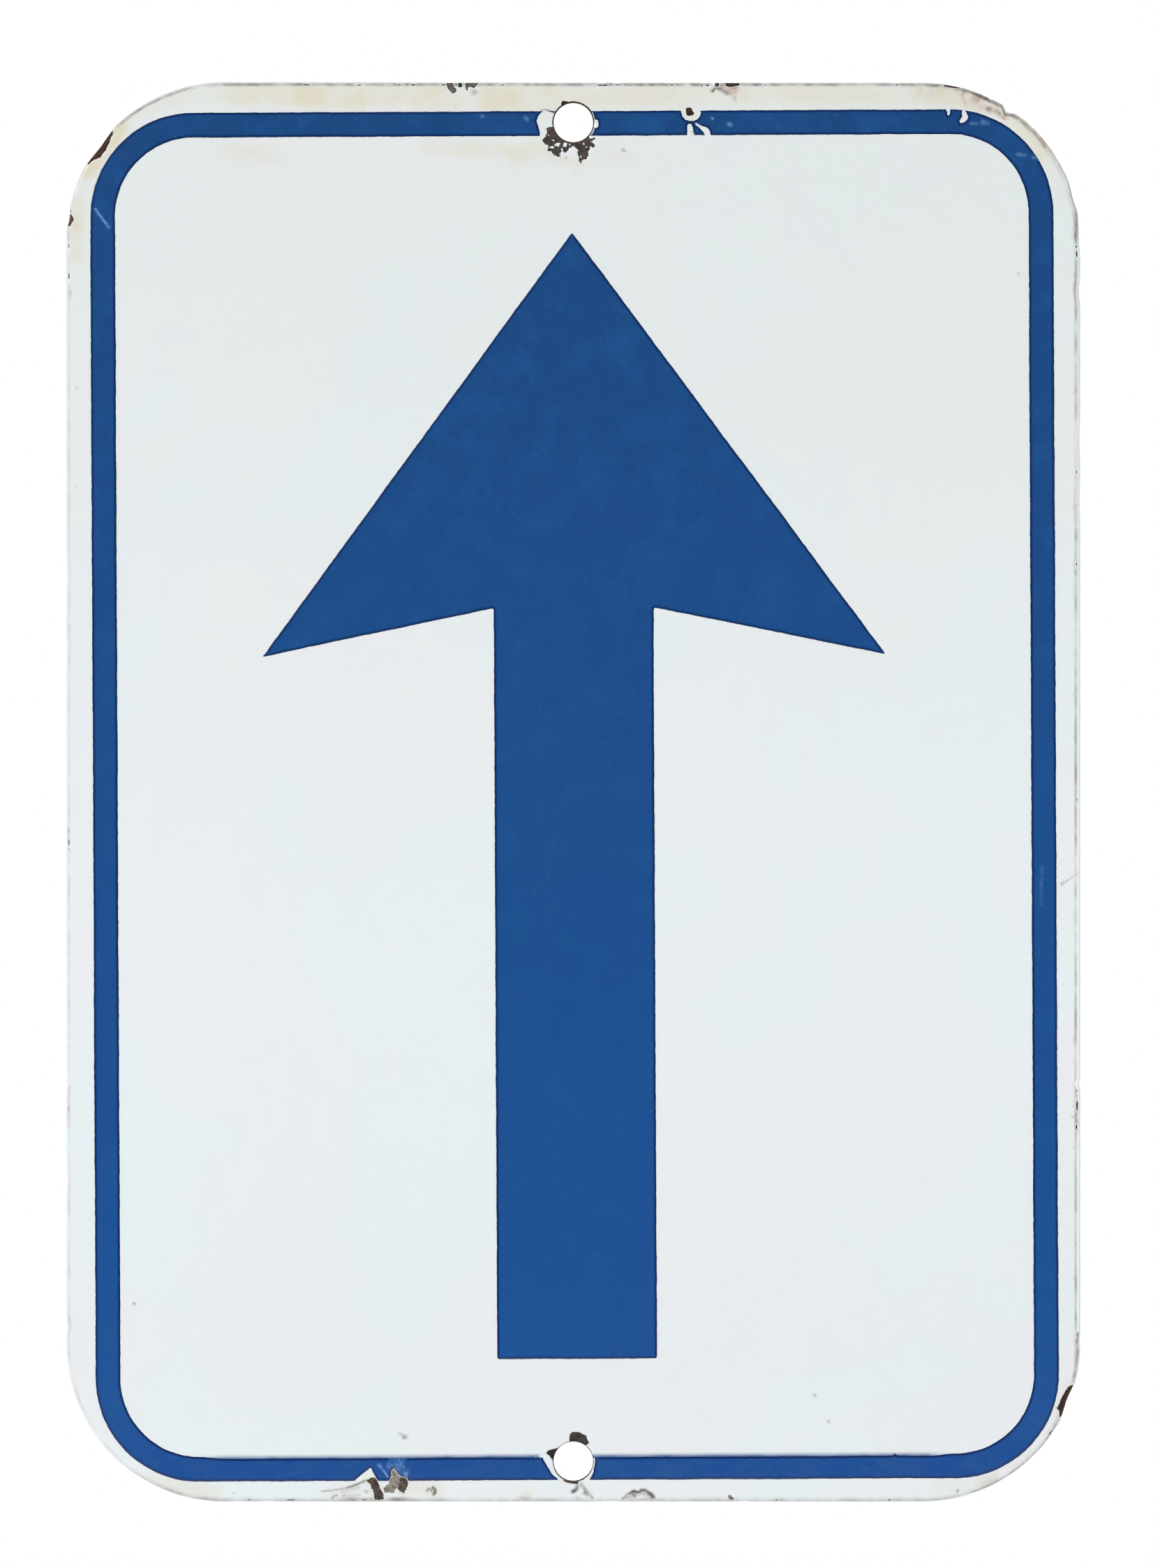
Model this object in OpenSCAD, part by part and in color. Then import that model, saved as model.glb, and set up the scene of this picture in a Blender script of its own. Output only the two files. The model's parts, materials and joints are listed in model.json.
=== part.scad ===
// Enamelled steel sign: a punched sheet under a fired white coat, with a fired blue print on that.
// +Z is up and the face looks towards -Y. The origin is the middle of the back face.
// Flat shapes are drawn as seen from the front, with x to the right and y up.

/* [Sheet] */
// Overall width of the finished sign
sign_w = 254; // [200:1:400]
// Overall height of the finished sign
sign_h = 355.6; // [330:0.1:600]
// Corner radius of the finished sign
corner_r = 39.7; // [30:0.1:60]
// Thickness of the steel sheet with its dark ground coat
sheet_t = 1.5; // [1.2:0.1:3]
// Radius that the punch rolled onto the front edge of the sheet
edge_r = 0.9; // [0.3:0.1:1.1]

/* [Fixing holes] */
// Diameter of the two fixing holes
hole_d = 9.9; // [6:0.1:13]
// Distance from the top or bottom edge to the middle of its hole
hole_inset = 10.2; // [9:0.1:16]
// Width of the ring round each hole that the white coat leaves bare
rim_w = 0.4; // [0.1:0.1:1]

/* [Coats] */
// Thickness of the fired white coat
cover_t = 0.2; // [0.1:0.05:0.4]
// Thickness of the fired blue print
print_t = 0.1; // [0.05:0.05:0.2]

/* [Border line] */
// Margin between the edge of the sign and the line
border_gap = 6.5; // [5:0.1:12]
// Width of the line
border_w = 6.2; // [3:0.1:12]
// Outer corner radius of the line, set tighter than the corner of the sign
border_r = 25.9; // [20:0.1:36]

/* [Print register] */
// How far the print sits to the right of the middle
register_x = 0.3; // [-1.5:0.1:1.5]
// How far the print sits above the middle
register_y = -0.9; // [-1.5:0.1:1.5]
// How far the print is turned, anticlockwise in degrees
register_turn = 0.27; // [-0.5:0.01:0.5]

/* [Arrow] */
// Height of the arrow from its tip to its foot
arrow_h = 282; // [200:1:290]
// Width across the arrow's head
arrow_w = 156; // [120:1:166]
// Height of the head from its tip to its outer corners
head_h = 106; // [70:1:150]
// How far the outer corners hang below the place where the head meets the shaft
head_sweep = 12; // [0:1:25]
// Width of the shaft
shaft_w = 40; // [20:1:60]

/* [Chips] */
// Overall size of every flake, where 1 is as they are now
flake_scale = 1; // [0.5:0.05:1.2]
// Number of corners in the broken outline of a flake
flake_corners = 11; // [7:1:16]
// How ragged that outline is
flake_rag = 0.22; // [0:0.02:0.3]

/* [Hidden] */
$fn = 96;
blank_w = sign_w - 2 * cover_t;
blank_h = sign_h - 2 * cover_t;
blank_r = corner_r - cover_t;
finished_t = sheet_t + cover_t;
hole_y = sign_h / 2 - hole_inset;
coat_hole_d = hole_d + 2 * rim_w;
line_w = sign_w - 2 * border_gap;
line_h = sign_h - 2 * border_gap;
// How far a cut runs past the faces that it cuts
spare = 1;

// A flat shape of this thickness that stands with its back on the plane y = 0
module stand(t) {
    rotate([90, 0, 0]) linear_extrude(t) children();
}

// A flat shape cut right through the sign
module cut_through() {
    translate([0, spare, 0]) stand(finished_t + 2 * spare) children();
}

module round_rect(w, h, r) {
    square([w - 2 * r, h], center = true);
    square([w, h - 2 * r], center = true);
    for (sx = [-1, 1], sy = [-1, 1])
        translate([sx * (w / 2 - r), sy * (h / 2 - r)]) circle(r);
}

// Section through one edge of a plate, from the inside out to the reach, rolled over at the front
module edge_section(reach, t, roll) {
    intersection() {
        square([reach, t]);
        union() {
            square([reach, t - roll]);
            square([reach - roll, t]);
            translate([reach - roll, t - roll]) circle(roll);
        }
    }
}

// A plate with round corners and a rolled front edge, with its back on the plane y = 0
module rolled_plate(w, h, r, t, roll) {
    straight_w = w - 2 * r;
    straight_h = h - 2 * r;
    rotate([90, 0, 0]) {
        translate([-straight_w / 2, -straight_h / 2, 0]) cube([straight_w, straight_h, t]);
        for (s = [0, 180]) rotate([0, 0, s]) {
            translate([straight_w / 2, straight_h / 2, 0]) rotate([90, 0, 0])
                linear_extrude(straight_h) edge_section(r, t, roll);
            translate([-straight_w / 2, straight_h / 2, 0]) rotate([90, 0, 90])
                linear_extrude(straight_w) edge_section(r, t, roll);
            translate([straight_w / 2, straight_h / 2, 0])
                rotate_extrude(angle = 90) edge_section(r, t, roll);
            translate([-straight_w / 2, straight_h / 2, 0]) rotate([0, 0, 90])
                rotate_extrude(angle = 90) edge_section(r, t, roll);
        }
    }
}

module fixing_holes(d) {
    for (s = [-1, 1]) translate([0, s * hole_y]) circle(d = d);
}

// Shifts and turns the print as it was laid on the sheet
module in_register() {
    translate([register_x, register_y]) rotate(register_turn) children();
}

// Lays a flat shape on the white coat as a fired print
module printed() {
    translate([0, -finished_t, 0]) stand(print_t) children();
}

// One flake of lost enamel, with a broken outline about an oval
module flake(right, up, length, width, turn, seed) {
    reach = rands(1 - flake_rag, 1 + flake_rag, flake_corners, seed);
    outline = [
        for (i = [0 : flake_corners - 1])
            let (a = 360 * i / flake_corners, k = reach[i] * flake_scale / 2)
                [length * k * cos(a), width * k * sin(a)]
    ];
    translate([right, up]) rotate(turn) polygon(outline);
}

// Flakes placed from the middle of the top hole
module top_hole_flakes() {
    flake(right = -5.2, up = -3.4, length = 6.0, width = 4.0, turn = 70, seed = 3);
    flake(right = -4.1, up = -6.0, length = 6.6, width = 3.8, turn = -38, seed = 11);
    flake(right = -1.4, up = -5.0, length = 7.4, width = 3.2, turn = -8, seed = 5);
    flake(right = 2.6, up = -6.6, length = 6.6, width = 3.4, turn = 72, seed = 8);
    flake(right = 4.2, up = -4.9, length = 3.6, width = 1.8, turn = -14, seed = 9);
}

// Flakes placed from the middle of the bottom hole
module bottom_hole_flakes() {
    flake(right = 1.5, up = 5.7, length = 5.2, width = 3.8, turn = -14, seed = 21);
    flake(right = -5.0, up = 2.2, length = 3.8, width = 2.2, turn = 10, seed = 14);
}

// Flakes placed from the outer edge of the line, above the middle of the sign
module top_line_flakes() {
    flake(right = 28.8, up = -0.1, length = 2.2, width = 2.3, turn = 0, seed = 6);
}

// Flakes placed from the outer edge of the line, below the middle of the sign
module bottom_line_flakes() {
    flake(right = -49.6, up = -2.3, length = 6.8, width = 2.4, turn = -64, seed = 17);
    flake(right = -45.2, up = -1.6, length = 5.0, width = 2.6, turn = 44, seed = 19);
    flake(right = -42.2, up = -1.1, length = 3.8, width = 1.8, turn = 84, seed = 25);
}

// Flakes placed from the top edge of the sign
module top_edge_flakes() {
    flake(right = -30.2, up = -1.2, length = 3.4, width = 2.6, turn = 0, seed = 31);
    flake(right = -25.2, up = -1.3, length = 4.2, width = 2.4, turn = -20, seed = 33);
    flake(right = 38.6, up = 0, length = 5.8, width = 2.8, turn = 0, seed = 36);
}

// Flakes placed from the bottom edge of the sign
module bottom_edge_flakes() {
    flake(right = 39.4, up = 0.9, length = 2.2, width = 1.8, turn = -20, seed = 41);
}

// A flake on the rim of a corner, at an angle about the middle of that corner's arc
module corner_flake(right, up, angle, inside, length, width, seed) {
    translate([right * (sign_w / 2 - corner_r), up * (sign_h / 2 - corner_r)]) rotate(angle)
        flake(right = corner_r - inside, up = 0, length = length, width = width, turn = 90, seed = seed);
}

// Every flake that took both coats and left the ground coat bare
module bare_flakes() {
    translate([0, hole_y]) top_hole_flakes();
    translate([0, -hole_y]) bottom_hole_flakes();
    in_register() translate([0, line_h / 2]) top_line_flakes();
    in_register() translate([0, -line_h / 2]) bottom_line_flakes();
    translate([0, sign_h / 2]) top_edge_flakes();
    translate([0, -sign_h / 2]) bottom_edge_flakes();
    corner_flake(right = -1, up = 1, angle = 143, inside = 0, length = 10.6, width = 4.2, seed = 51);
    corner_flake(right = -1, up = 1, angle = 171, inside = 0, length = 4.4, width = 2.4, seed = 52);
    corner_flake(right = 1, up = -1, angle = -20, inside = 0, length = 7.2, width = 3.6, seed = 53);
    corner_flake(right = 1, up = -1, angle = -33, inside = 0, length = 3.0, width = 2.6, seed = 54);
}

// Every flake that took the blue print alone and left the white coat
module print_flakes() {
    translate([0, hole_y]) {
        flake(right = -6.1, up = 0.6, length = 7.0, width = 5.4, turn = 90, seed = 61);
        flake(right = 5.6, up = -0.6, length = 2.4, width = 1.6, turn = 90, seed = 62);
    }
    translate([0, -hole_y]) {
        flake(right = -5.2, up = -0.8, length = 9.0, width = 3.2, turn = -56, seed = 64);
        flake(right = 4.6, up = -3.0, length = 3.0, width = 1.6, turn = 60, seed = 65);
    }
    in_register() translate([0, line_h / 2]) {
        flake(right = 29.0, up = -0.1, length = 5.8, width = 5.6, turn = 0, seed = 71);
        flake(right = 28.8, up = -5.0, length = 2.6, width = 1.6, turn = 84, seed = 72);
        flake(right = 32.6, up = -5.0, length = 4.2, width = 1.5, turn = -40, seed = 73);
        flake(right = 93.2, up = 0.4, length = 2.4, width = 1.7, turn = 70, seed = 74);
        flake(right = 97.1, up = -0.9, length = 3.4, width = 2.0, turn = 100, seed = 75);
    }
    in_register() translate([0, -line_h / 2]) {
        flake(right = -52.4, up = 0.2, length = 5.8, width = 3.8, turn = 40, seed = 81);
        flake(right = -43.6, up = 1.6, length = 6.4, width = 3.2, turn = 96, seed = 82);
    }
}

// The flat line that runs round the sign
module border_line() {
    difference() {
        round_rect(line_w, line_h, border_r);
        round_rect(line_w - 2 * border_w, line_h - 2 * border_w, border_r - border_w);
    }
}

// The straight-ahead arrow in the middle of the sign
module arrow() {
    tip = arrow_h / 2;
    shoulder = tip - head_h;
    polygon([
        [0, tip],
        [arrow_w / 2, shoulder],
        [shaft_w / 2, shoulder + head_sweep],
        [shaft_w / 2, -tip],
        [-shaft_w / 2, -tip],
        [-shaft_w / 2, shoulder + head_sweep],
        [-arrow_w / 2, shoulder]
    ]);
}

module steel_sheet() {
    color("#3b3835")
    difference() {
        rolled_plate(blank_w, blank_h, blank_r, sheet_t, edge_r);
        cut_through() fixing_holes(hole_d);
    }
}

module white_enamel() {
    color("#e8edee")
    difference() {
        rolled_plate(sign_w, sign_h, corner_r, finished_t, edge_r + cover_t);
        translate([0, spare, 0]) rolled_plate(blank_w, blank_h, blank_r, sheet_t + spare, edge_r);
        cut_through() fixing_holes(coat_hole_d);
        cut_through() bare_flakes();
    }
}

module blue_border() {
    color("#1f4c86")
    printed() difference() {
        in_register() border_line();
        fixing_holes(coat_hole_d);
        bare_flakes();
        print_flakes();
    }
}

module blue_arrow() {
    color("#1d4b88")
    printed() in_register() arrow();
}

steel_sheet();
white_enamel();
blue_border();
blue_arrow();
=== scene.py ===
import json
import math

import bmesh
import bpy
import numpy as np
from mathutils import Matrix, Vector
from mathutils.geometry import delaunay_2d_cdt


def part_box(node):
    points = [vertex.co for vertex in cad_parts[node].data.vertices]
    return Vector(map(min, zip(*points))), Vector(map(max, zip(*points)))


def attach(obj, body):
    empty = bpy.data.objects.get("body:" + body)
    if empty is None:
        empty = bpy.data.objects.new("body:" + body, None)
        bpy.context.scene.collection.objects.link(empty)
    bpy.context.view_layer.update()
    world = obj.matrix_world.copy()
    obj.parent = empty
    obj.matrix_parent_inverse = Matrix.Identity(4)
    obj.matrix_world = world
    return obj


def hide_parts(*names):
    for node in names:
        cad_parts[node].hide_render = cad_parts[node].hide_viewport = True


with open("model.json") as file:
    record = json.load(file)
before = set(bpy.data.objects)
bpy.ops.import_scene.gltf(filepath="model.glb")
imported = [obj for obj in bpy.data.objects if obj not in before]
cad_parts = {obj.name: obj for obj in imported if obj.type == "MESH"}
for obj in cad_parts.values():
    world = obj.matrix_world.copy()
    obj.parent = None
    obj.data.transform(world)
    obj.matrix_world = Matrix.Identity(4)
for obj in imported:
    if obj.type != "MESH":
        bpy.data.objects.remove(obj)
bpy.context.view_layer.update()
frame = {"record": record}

# Enamelled steel sign. Flat shapes are reckoned in millimetres as seen from the front, with x to the right
# and z up, and their meshes are made in metres. The face of the sign looks towards -Y.

MM = 0.001

# Sizes taken from the frame


def millimetres(length):
    return round(length / MM, 3)


steel_low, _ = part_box("steel_sheet")
coat_low, coat_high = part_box("white_enamel")
print_low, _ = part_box("blue_border")
bores = {m["name"]: m for m in frame["record"]["mounts"] if m["kind"] == "bore"}

SIGN_W = millimetres(coat_high.x - coat_low.x)
SIGN_H = millimetres(coat_high.z - coat_low.z)
SHEET_T = millimetres(-steel_low.y)
COVER_T = millimetres(steel_low.y - coat_low.y)
PRINT_T = millimetres(coat_low.y - print_low.y)
HOLE_R = bores["top_hole"]["dims"]["r_mm"]
HOLE_Z = millimetres(bores["top_hole"]["pos_m"][2])

# Sizes that a box doesn't show
CORNER_R = 39.7
EDGE_R = 0.9
RIM_W = 0.4
BORDER_GAP, BORDER_W, BORDER_R = 6.5, 6.2, 25.9
REGISTER_X, REGISTER_Y, REGISTER_TURN = 0.3, -0.9, math.radians(0.27)
ARROW_H, ARROW_W, HEAD_H, HEAD_SWEEP, SHAFT_W = 282.0, 156.0, 106.0, 12.0, 40.0

# The flat pattern is reckoned from its core, the rectangle between the corners' centres, which is HALF across
# and up. It ends at LIMIT. SEAM is the least gap that counts, MOUTH_R the sheet's eased hole in front, and
# LINE_EDGE how far above and below the middle the border line begins.
COAT_HOLE_R = HOLE_R + RIM_W
ROLL = EDGE_R + COVER_T
HALF = np.array([SIGN_W / 2 - CORNER_R, SIGN_H / 2 - CORNER_R])
FLAT = CORNER_R - ROLL
ARC = ROLL * math.pi / 2
LIMIT = FLAT + ARC + SHEET_T - EDGE_R
SEAM = 0.002
MOUTH_R = HOLE_R + 0.16
HOLE_STEPS = 96
LINE_EDGE = SIGN_H / 2 - BORDER_GAP - BORDER_W
HOLE_CENTRES = [(0.0, HOLE_Z), (0.0, -HOLE_Z)]
ORIGINS = {"top_hole": HOLE_CENTRES[0], "bottom_hole": HOLE_CENTRES[1], "middle": (0.0, 0.0)}

# Where the enamel is broken

# Flakes that took both coats, in millimetres from the middle of the sign or of the hole named.
# Each has its outline, how ragged the break is, and how rusty and how powdery the ground coat in it is.
BARE = {
    "top_hole": [
        ([(-4.2, -1.0), (-6.0, -1.2), (-6.7, -1.4), (-6.7, -3.1), (-7.4, -4.1), (-7.7, -4.9), (-7.4, -5.4),
          (-6.3, -5.6), (-6.1, -6.2), (-6.7, -6.9), (-6.4, -7.2), (-5.6, -7.4), (-4.7, -8.2), (-3.6, -8.8),
          (-3.1, -8.9), (-3.1, -8.0), (-2.8, -7.0), (-2.2, -7.7), (-1.7, -7.5), (-1.1, -6.8), (-0.3, -6.2),
          (0.6, -6.3), (1.1, -7.0), (1.2, -8.3), (1.4, -9.7), (1.8, -10.1), (2.2, -9.5), (3.2, -8.9),
          (3.9, -7.9), (3.8, -6.8), (4.2, -6.2), (5.0, -6.3), (5.8, -6.1), (5.0, -5.4), (4.5, -4.8),
          (5.4, -4.3), (5.3, -4.0), (4.3, -4.1), (4.0, -3.5), (3.1, -3.2), (0.0, -4.4), (-3.1, -3.1)],
         0.34, 0.28, 0.15),
        ([(-3.0, 3.9), (-3.0, 4.9), (-2.5, 5.5), (-2.1, 5.3), (-1.5, 5.3), (-1.2, 4.6)], 0.06, 0.3, 0.0),
    ],
    "bottom_hole": [
        ([(-0.9, 4.3), (-1.0, 5.5), (-0.9, 6.7), (-0.4, 7.3), (0.5, 7.4), (1.6, 7.3), (2.3, 6.8), (3.3, 6.5),
          (3.4, 5.7), (4.0, 4.7), (3.7, 4.3), (2.7, 3.9), (1.4, 4.2)], 0.07, 0.15, 0.12),
        ([(-3.4, 2.9), (-3.9, 3.3), (-4.6, 3.2), (-5.8, 2.9), (-6.6, 2.5), (-6.8, 2.0), (-6.2, 1.6),
          (-5.6, 0.9), (-5.2, 0.3), (-4.6, 0.3), (-4.2, 1.6)], 0.06, 0.1, 0.0),
        ([(-2.3, -4.4), (-2.5, -4.9), (-1.4, -5.4), (0.0, -5.6), (1.1, -5.7), (1.3, -5.2), (0.9, -4.5)],
         0.06, 0.28, 0.3),
    ],
    "middle": [
        ([(28.2, 171.0), (28.6, 171.3), (29.2, 171.3), (29.7, 171.0), (29.8, 170.5), (30.3, 169.9),
          (30.0, 169.4), (29.2, 169.2), (28.6, 169.2), (28.2, 169.7)], 0.05, 0.35, 0.0),
        ([(-31.7, 178.2), (-30.1, 178.2), (-29.9, 176.6), (-29.3, 176.0), (-29.2, 175.4), (-29.8, 174.9),
          (-30.4, 174.9), (-30.9, 175.4), (-31.4, 176.1), (-31.7, 176.8)], 0.10, 0.28, 0.35),
        ([(-28.8, 178.0), (-27.9, 178.0), (-27.8, 176.5), (-28.3, 176.3), (-28.8, 176.5)], 0.06, 0.0, 0.0),
        ([(-27.0, 178.0), (-23.6, 178.0), (-24.3, 176.7), (-24.9, 176.2), (-25.8, 176.5), (-26.4, 176.3),
          (-26.5, 175.6), (-26.9, 175.6), (-27.0, 176.6)], 0.12, 0.28, 0.45),
        ([(35.5, 176.6), (36.2, 176.5), (36.5, 176.9), (36.4, 178.0), (35.5, 178.0)], 0.06, 0.2, 0.2),
        ([(37.8, 178.2), (41.8, 178.2), (41.5, 176.8), (40.3, 176.6), (39.1, 176.4), (38.2, 176.7)],
         0.08, 0.75, 0.0),
        ([(92.8, 178.2), (97.9, 177.9), (97.7, 176.5), (95.8, 176.2), (94.1, 176.4), (92.8, 176.6)],
         0.06, 0.9, 0.1),
        ([(-116.0, 166.6), (-115.3, 165.4), (-115.9, 163.8), (-117.0, 161.5), (-118.3, 159.4),
          (-119.7, 158.5), (-121.7, 157.1), (-123.6, 157.3), (-122.6, 159.4), (-120.4, 162.5),
          (-117.6, 165.6)], 0.24, 0.95, 0.0),
        ([(-127.2, 144.6), (-126.1, 144.6), (-125.5, 144.1), (-125.2, 143.3), (-125.6, 142.3),
          (-125.9, 141.6), (-127.2, 141.6)], 0.14, 0.8, 0.15),
        ([(-127.0, 145.9), (-126.1, 146.0), (-125.8, 145.5), (-126.1, 145.0), (-127.0, 145.1)],
         0.06, 0.8, 0.3),
        ([(124.6, -148.5), (126.5, -148.6), (126.1, -151.7), (124.6, -154.8), (122.7, -157.2),
          (121.7, -156.3), (121.9, -155.0), (121.2, -154.7), (121.2, -154.1), (122.0, -153.3),
          (122.4, -152.2), (123.1, -151.0), (123.8, -149.6)], 0.16, 0.75, 0.0),
        ([(119.9, -159.8), (120.8, -160.4), (119.9, -161.6), (119.0, -160.9), (119.2, -160.4)],
         0.06, 0.2, 0.7),
        ([(38.7, -176.1), (39.3, -176.1), (39.9, -176.6), (40.3, -177.1), (39.8, -177.4), (39.3, -177.3),
          (38.9, -176.9)], 0.12, 0.1, 0.9),
        ([(-51.9, -172.4), (-50.7, -171.7), (-49.7, -171.6), (-49.0, -172.5), (-48.5, -174.0),
          (-47.5, -175.9), (-47.4, -177.4), (-49.6, -177.4), (-50.0, -175.2), (-51.1, -173.0)],
         0.17, 0.6, 0.2),
        ([(-47.7, -174.2), (-47.1, -175.5), (-46.2, -175.5), (-45.0, -175.6), (-44.5, -174.7),
          (-43.9, -174.2), (-43.3, -173.7), (-42.8, -172.8), (-42.9, -171.9), (-43.4, -171.4),
          (-43.9, -170.8), (-44.7, -171.0), (-45.7, -171.8), (-46.2, -173.2)], 0.20, 0.2, 1.5),
        ([(-45.6, -171.4), (-45.5, -170.5), (-45.3, -169.6), (-44.9, -169.3), (-44.7, -169.9),
          (-44.3, -170.3), (-44.2, -171.0), (-44.8, -171.3)], 0.18, 0.1, 1.2),
        ([(-43.5, -175.0), (-42.4, -175.6), (-41.7, -174.3), (-41.3, -172.9), (-41.7, -171.8),
          (-42.3, -171.6), (-42.9, -171.5), (-43.6, -172.0), (-43.8, -173.2), (-43.9, -174.4)],
         0.16, 0.45, 0.35),
    ],
}

# Bits of enamel that held on inside the flake at the top hole: middle, size across and size up
HELD = [(-4.05, -5.6, 1.35, 1.1), (-2.1, -5.7, 0.9, 1.1), (-5.3, -6.3, 1.2, 0.6), (-5.0, -4.5, 0.5, 0.35),
        (-6.2, -3.2, 0.35, 0.5), (-2.9, -6.7, 0.45, 0.6), (2.6, -5.4, 0.35, 0.6), (1.9, -8.5, 0.35, 0.5),
        (3.3, -6.2, 0.45, 0.3), (-3.4, -7.9, 0.35, 0.3), (-0.9, -5.6, 0.3, 0.4)]

# Places where the blue print alone came off the white coat
PRINT_LOST = {
    "top_hole": [
        [(-8.1, 2.4), (-8.8, 1.6), (-9.2, 0.2), (-8.8, -1.0), (-8.4, -2.2), (-8.4, -4.2), (-4.0, -4.2),
         (-4.0, 2.0), (-4.9, 2.3), (-6.3, 2.7), (-7.5, 2.8)],
        [(5.2, 0.5), (5.7, 0.7), (6.2, 0.3), (6.3, -0.5), (6.1, -1.2), (5.7, -1.5), (5.3, -1.2)],
    ],
    "bottom_hole": [
        [(-8.2, 2.4), (-7.9, 1.3), (-6.8, -0.7), (-6.0, -2.0), (-5.4, -3.1), (-4.0, -4.3), (-3.5, -5.4),
         (0.0, -5.4), (0.0, 2.4)],
        [(3.4, -3.6), (4.3, -2.2), (4.9, -1.7), (5.1, -2.4), (4.6, -3.6), (4.1, -4.5), (3.7, -5.3),
         (2.4, -5.3)],
    ],
    "middle": [
        [(26.8, 171.6), (26.9, 170.5), (27.1, 169.6), (27.5, 168.8), (28.1, 168.2), (29.2, 167.9),
         (30.4, 168.0), (31.2, 168.5), (31.7, 169.3), (31.9, 170.1), (31.6, 170.7), (31.1, 171.6)],
        [(28.5, 166.7), (28.9, 167.2), (29.5, 167.1), (29.9, 166.3), (30.0, 165.3), (30.4, 164.6),
         (30.4, 163.6), (28.5, 163.6), (28.5, 165.4)],
        [(30.5, 167.4), (31.0, 167.3), (31.8, 166.7), (32.8, 166.5), (33.7, 166.1), (34.2, 165.3),
         (34.5, 163.6), (33.1, 163.6), (32.6, 165.1), (31.6, 166.2), (30.7, 166.9)],
        [(92.9, 172.0), (94.5, 172.0), (94.3, 170.6), (94.1, 169.5), (93.7, 169.2), (93.5, 170.1),
         (93.2, 170.9)],
        [(97.3, 170.6), (97.9, 170.6), (98.4, 169.9), (98.8, 169.0), (98.5, 168.2), (97.8, 167.6),
         (97.0, 167.4), (96.6, 167.8), (96.9, 168.4), (97.3, 169.0), (97.2, 169.9)],
        [(-55.0, -173.0), (-54.6, -172.2), (-53.0, -170.9), (-51.3, -169.6), (-50.9, -169.2), (-50.5, -169.3),
         (-50.2, -170.2), (-49.4, -171.6), (-49.1, -173.0)],
    ],
}

# Dents in the edge of the sheet: where on the outline, how far each reaches along it, and how deep
EDGE_DENTS = [
    (34.8, 177.8, 0.9, 0.45), (109.0, 171.3, 1.9, 0.80), (110.0, 170.6, 2.6, 0.42), (104.5, 173.9, 4.0, 0.18),
    (125.6, 149.0, 4.0, 0.25), (127.0, 139.0, 5.0, 0.20), (127.0, 125.5, 4.0, 0.30), (127.0, 88.0, 8.0, 0.20),
    (127.0, 73.0, 9.0, 0.15), (127.0, -73.2, 1.2, 0.38), (126.9, -137.5, 2.5, 0.22),
    (124.2, -152.3, 5.5, 0.50), (9.0, -177.8, 4.2, 0.12), (-76.0, -177.8, 2.4, 0.14),
    (-84.0, -177.8, 1.8, 0.14), (43.0, -177.8, 1.6, 0.16), (-127.0, -134.0, 2.2, 0.30),
    (-127.0, -97.0, 6.0, 0.20), (-127.0, -73.0, 4.0, 0.18), (-127.0, 55.0, 10.0, 0.16),
    (-127.0, 37.0, 3.0, 0.14), (-126.4, 144.0, 3.0, 0.20), (-118.9, 162.0, 6.5, 0.50),
]

# Short dark breaks along the roll of each side, from and to, along that side
NICKS = {
    "top": [(-67.9, -65.8), (-54.4, -52.9), (-43.9, -43.1), (-40.8, -38.9), (-33.2, -31.7), (-18.2, -17.2),
            (5.9, 8.8), (10.4, 12.2), (13.9, 14.7), (24.2, 25.2), (31.9, 32.4), (33.1, 34.1), (47.7, 48.4),
            (80.4, 81.6)],
    "right": [(133.6, 136.9), (79.5, 80.6), (56.6, 57.4), (-2.4, -1.6), (-75.2, -74.4), (-80.0, -77.0),
              (-84.6, -83.2)],
    "left": [(136.0, 137.4), (128.2, 130.0), (-13.6, -11.2)],
    "bottom": [(-72.0, -69.0), (-81.6, -80.5), (-56.2, -54.6), (-53.2, -51.4), (-45.4, -43.9), (50.4, 51.4),
               (78.6, 80.2)],
}

# Where the dark line on the roll, which is dirt and painted shade, is thin or thick: a place on the outline,
# how far round it, and how much of the line is there
DIRT_AND_SHADE_PLACES = [(28.4, 177.8, 1.6, 0.1), (34.8, 177.8, 0.9, 0.1), (-93.0, 177.6, 2.5, 0.3), (12.6, -177.8, 9.5, 0.35),
        (-76.0, -177.8, 2.6, 0.3), (-84.3, -177.8, 1.8, 0.3), (43.0, -177.8, 2.5, 0.3),
        (127.0, 88.0, 7.0, 0.4), (127.0, -73.2, 1.2, 0.1), (-27.0, -177.8, 6.0, 0.5),
        (-50.0, -177.8, 12.0, 1.9),
        (108.0, 172.0, 12.0, 1.3), (114.0, -166.0, 18.0, 0.4), (126.0, -146.0, 6.0, 0.4),
        (124.0, 152.0, 9.0, 0.4), (-100.0, 175.6, 7.0, 0.5), (-114.5, -165.8, 17.0, 0.55)]

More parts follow.
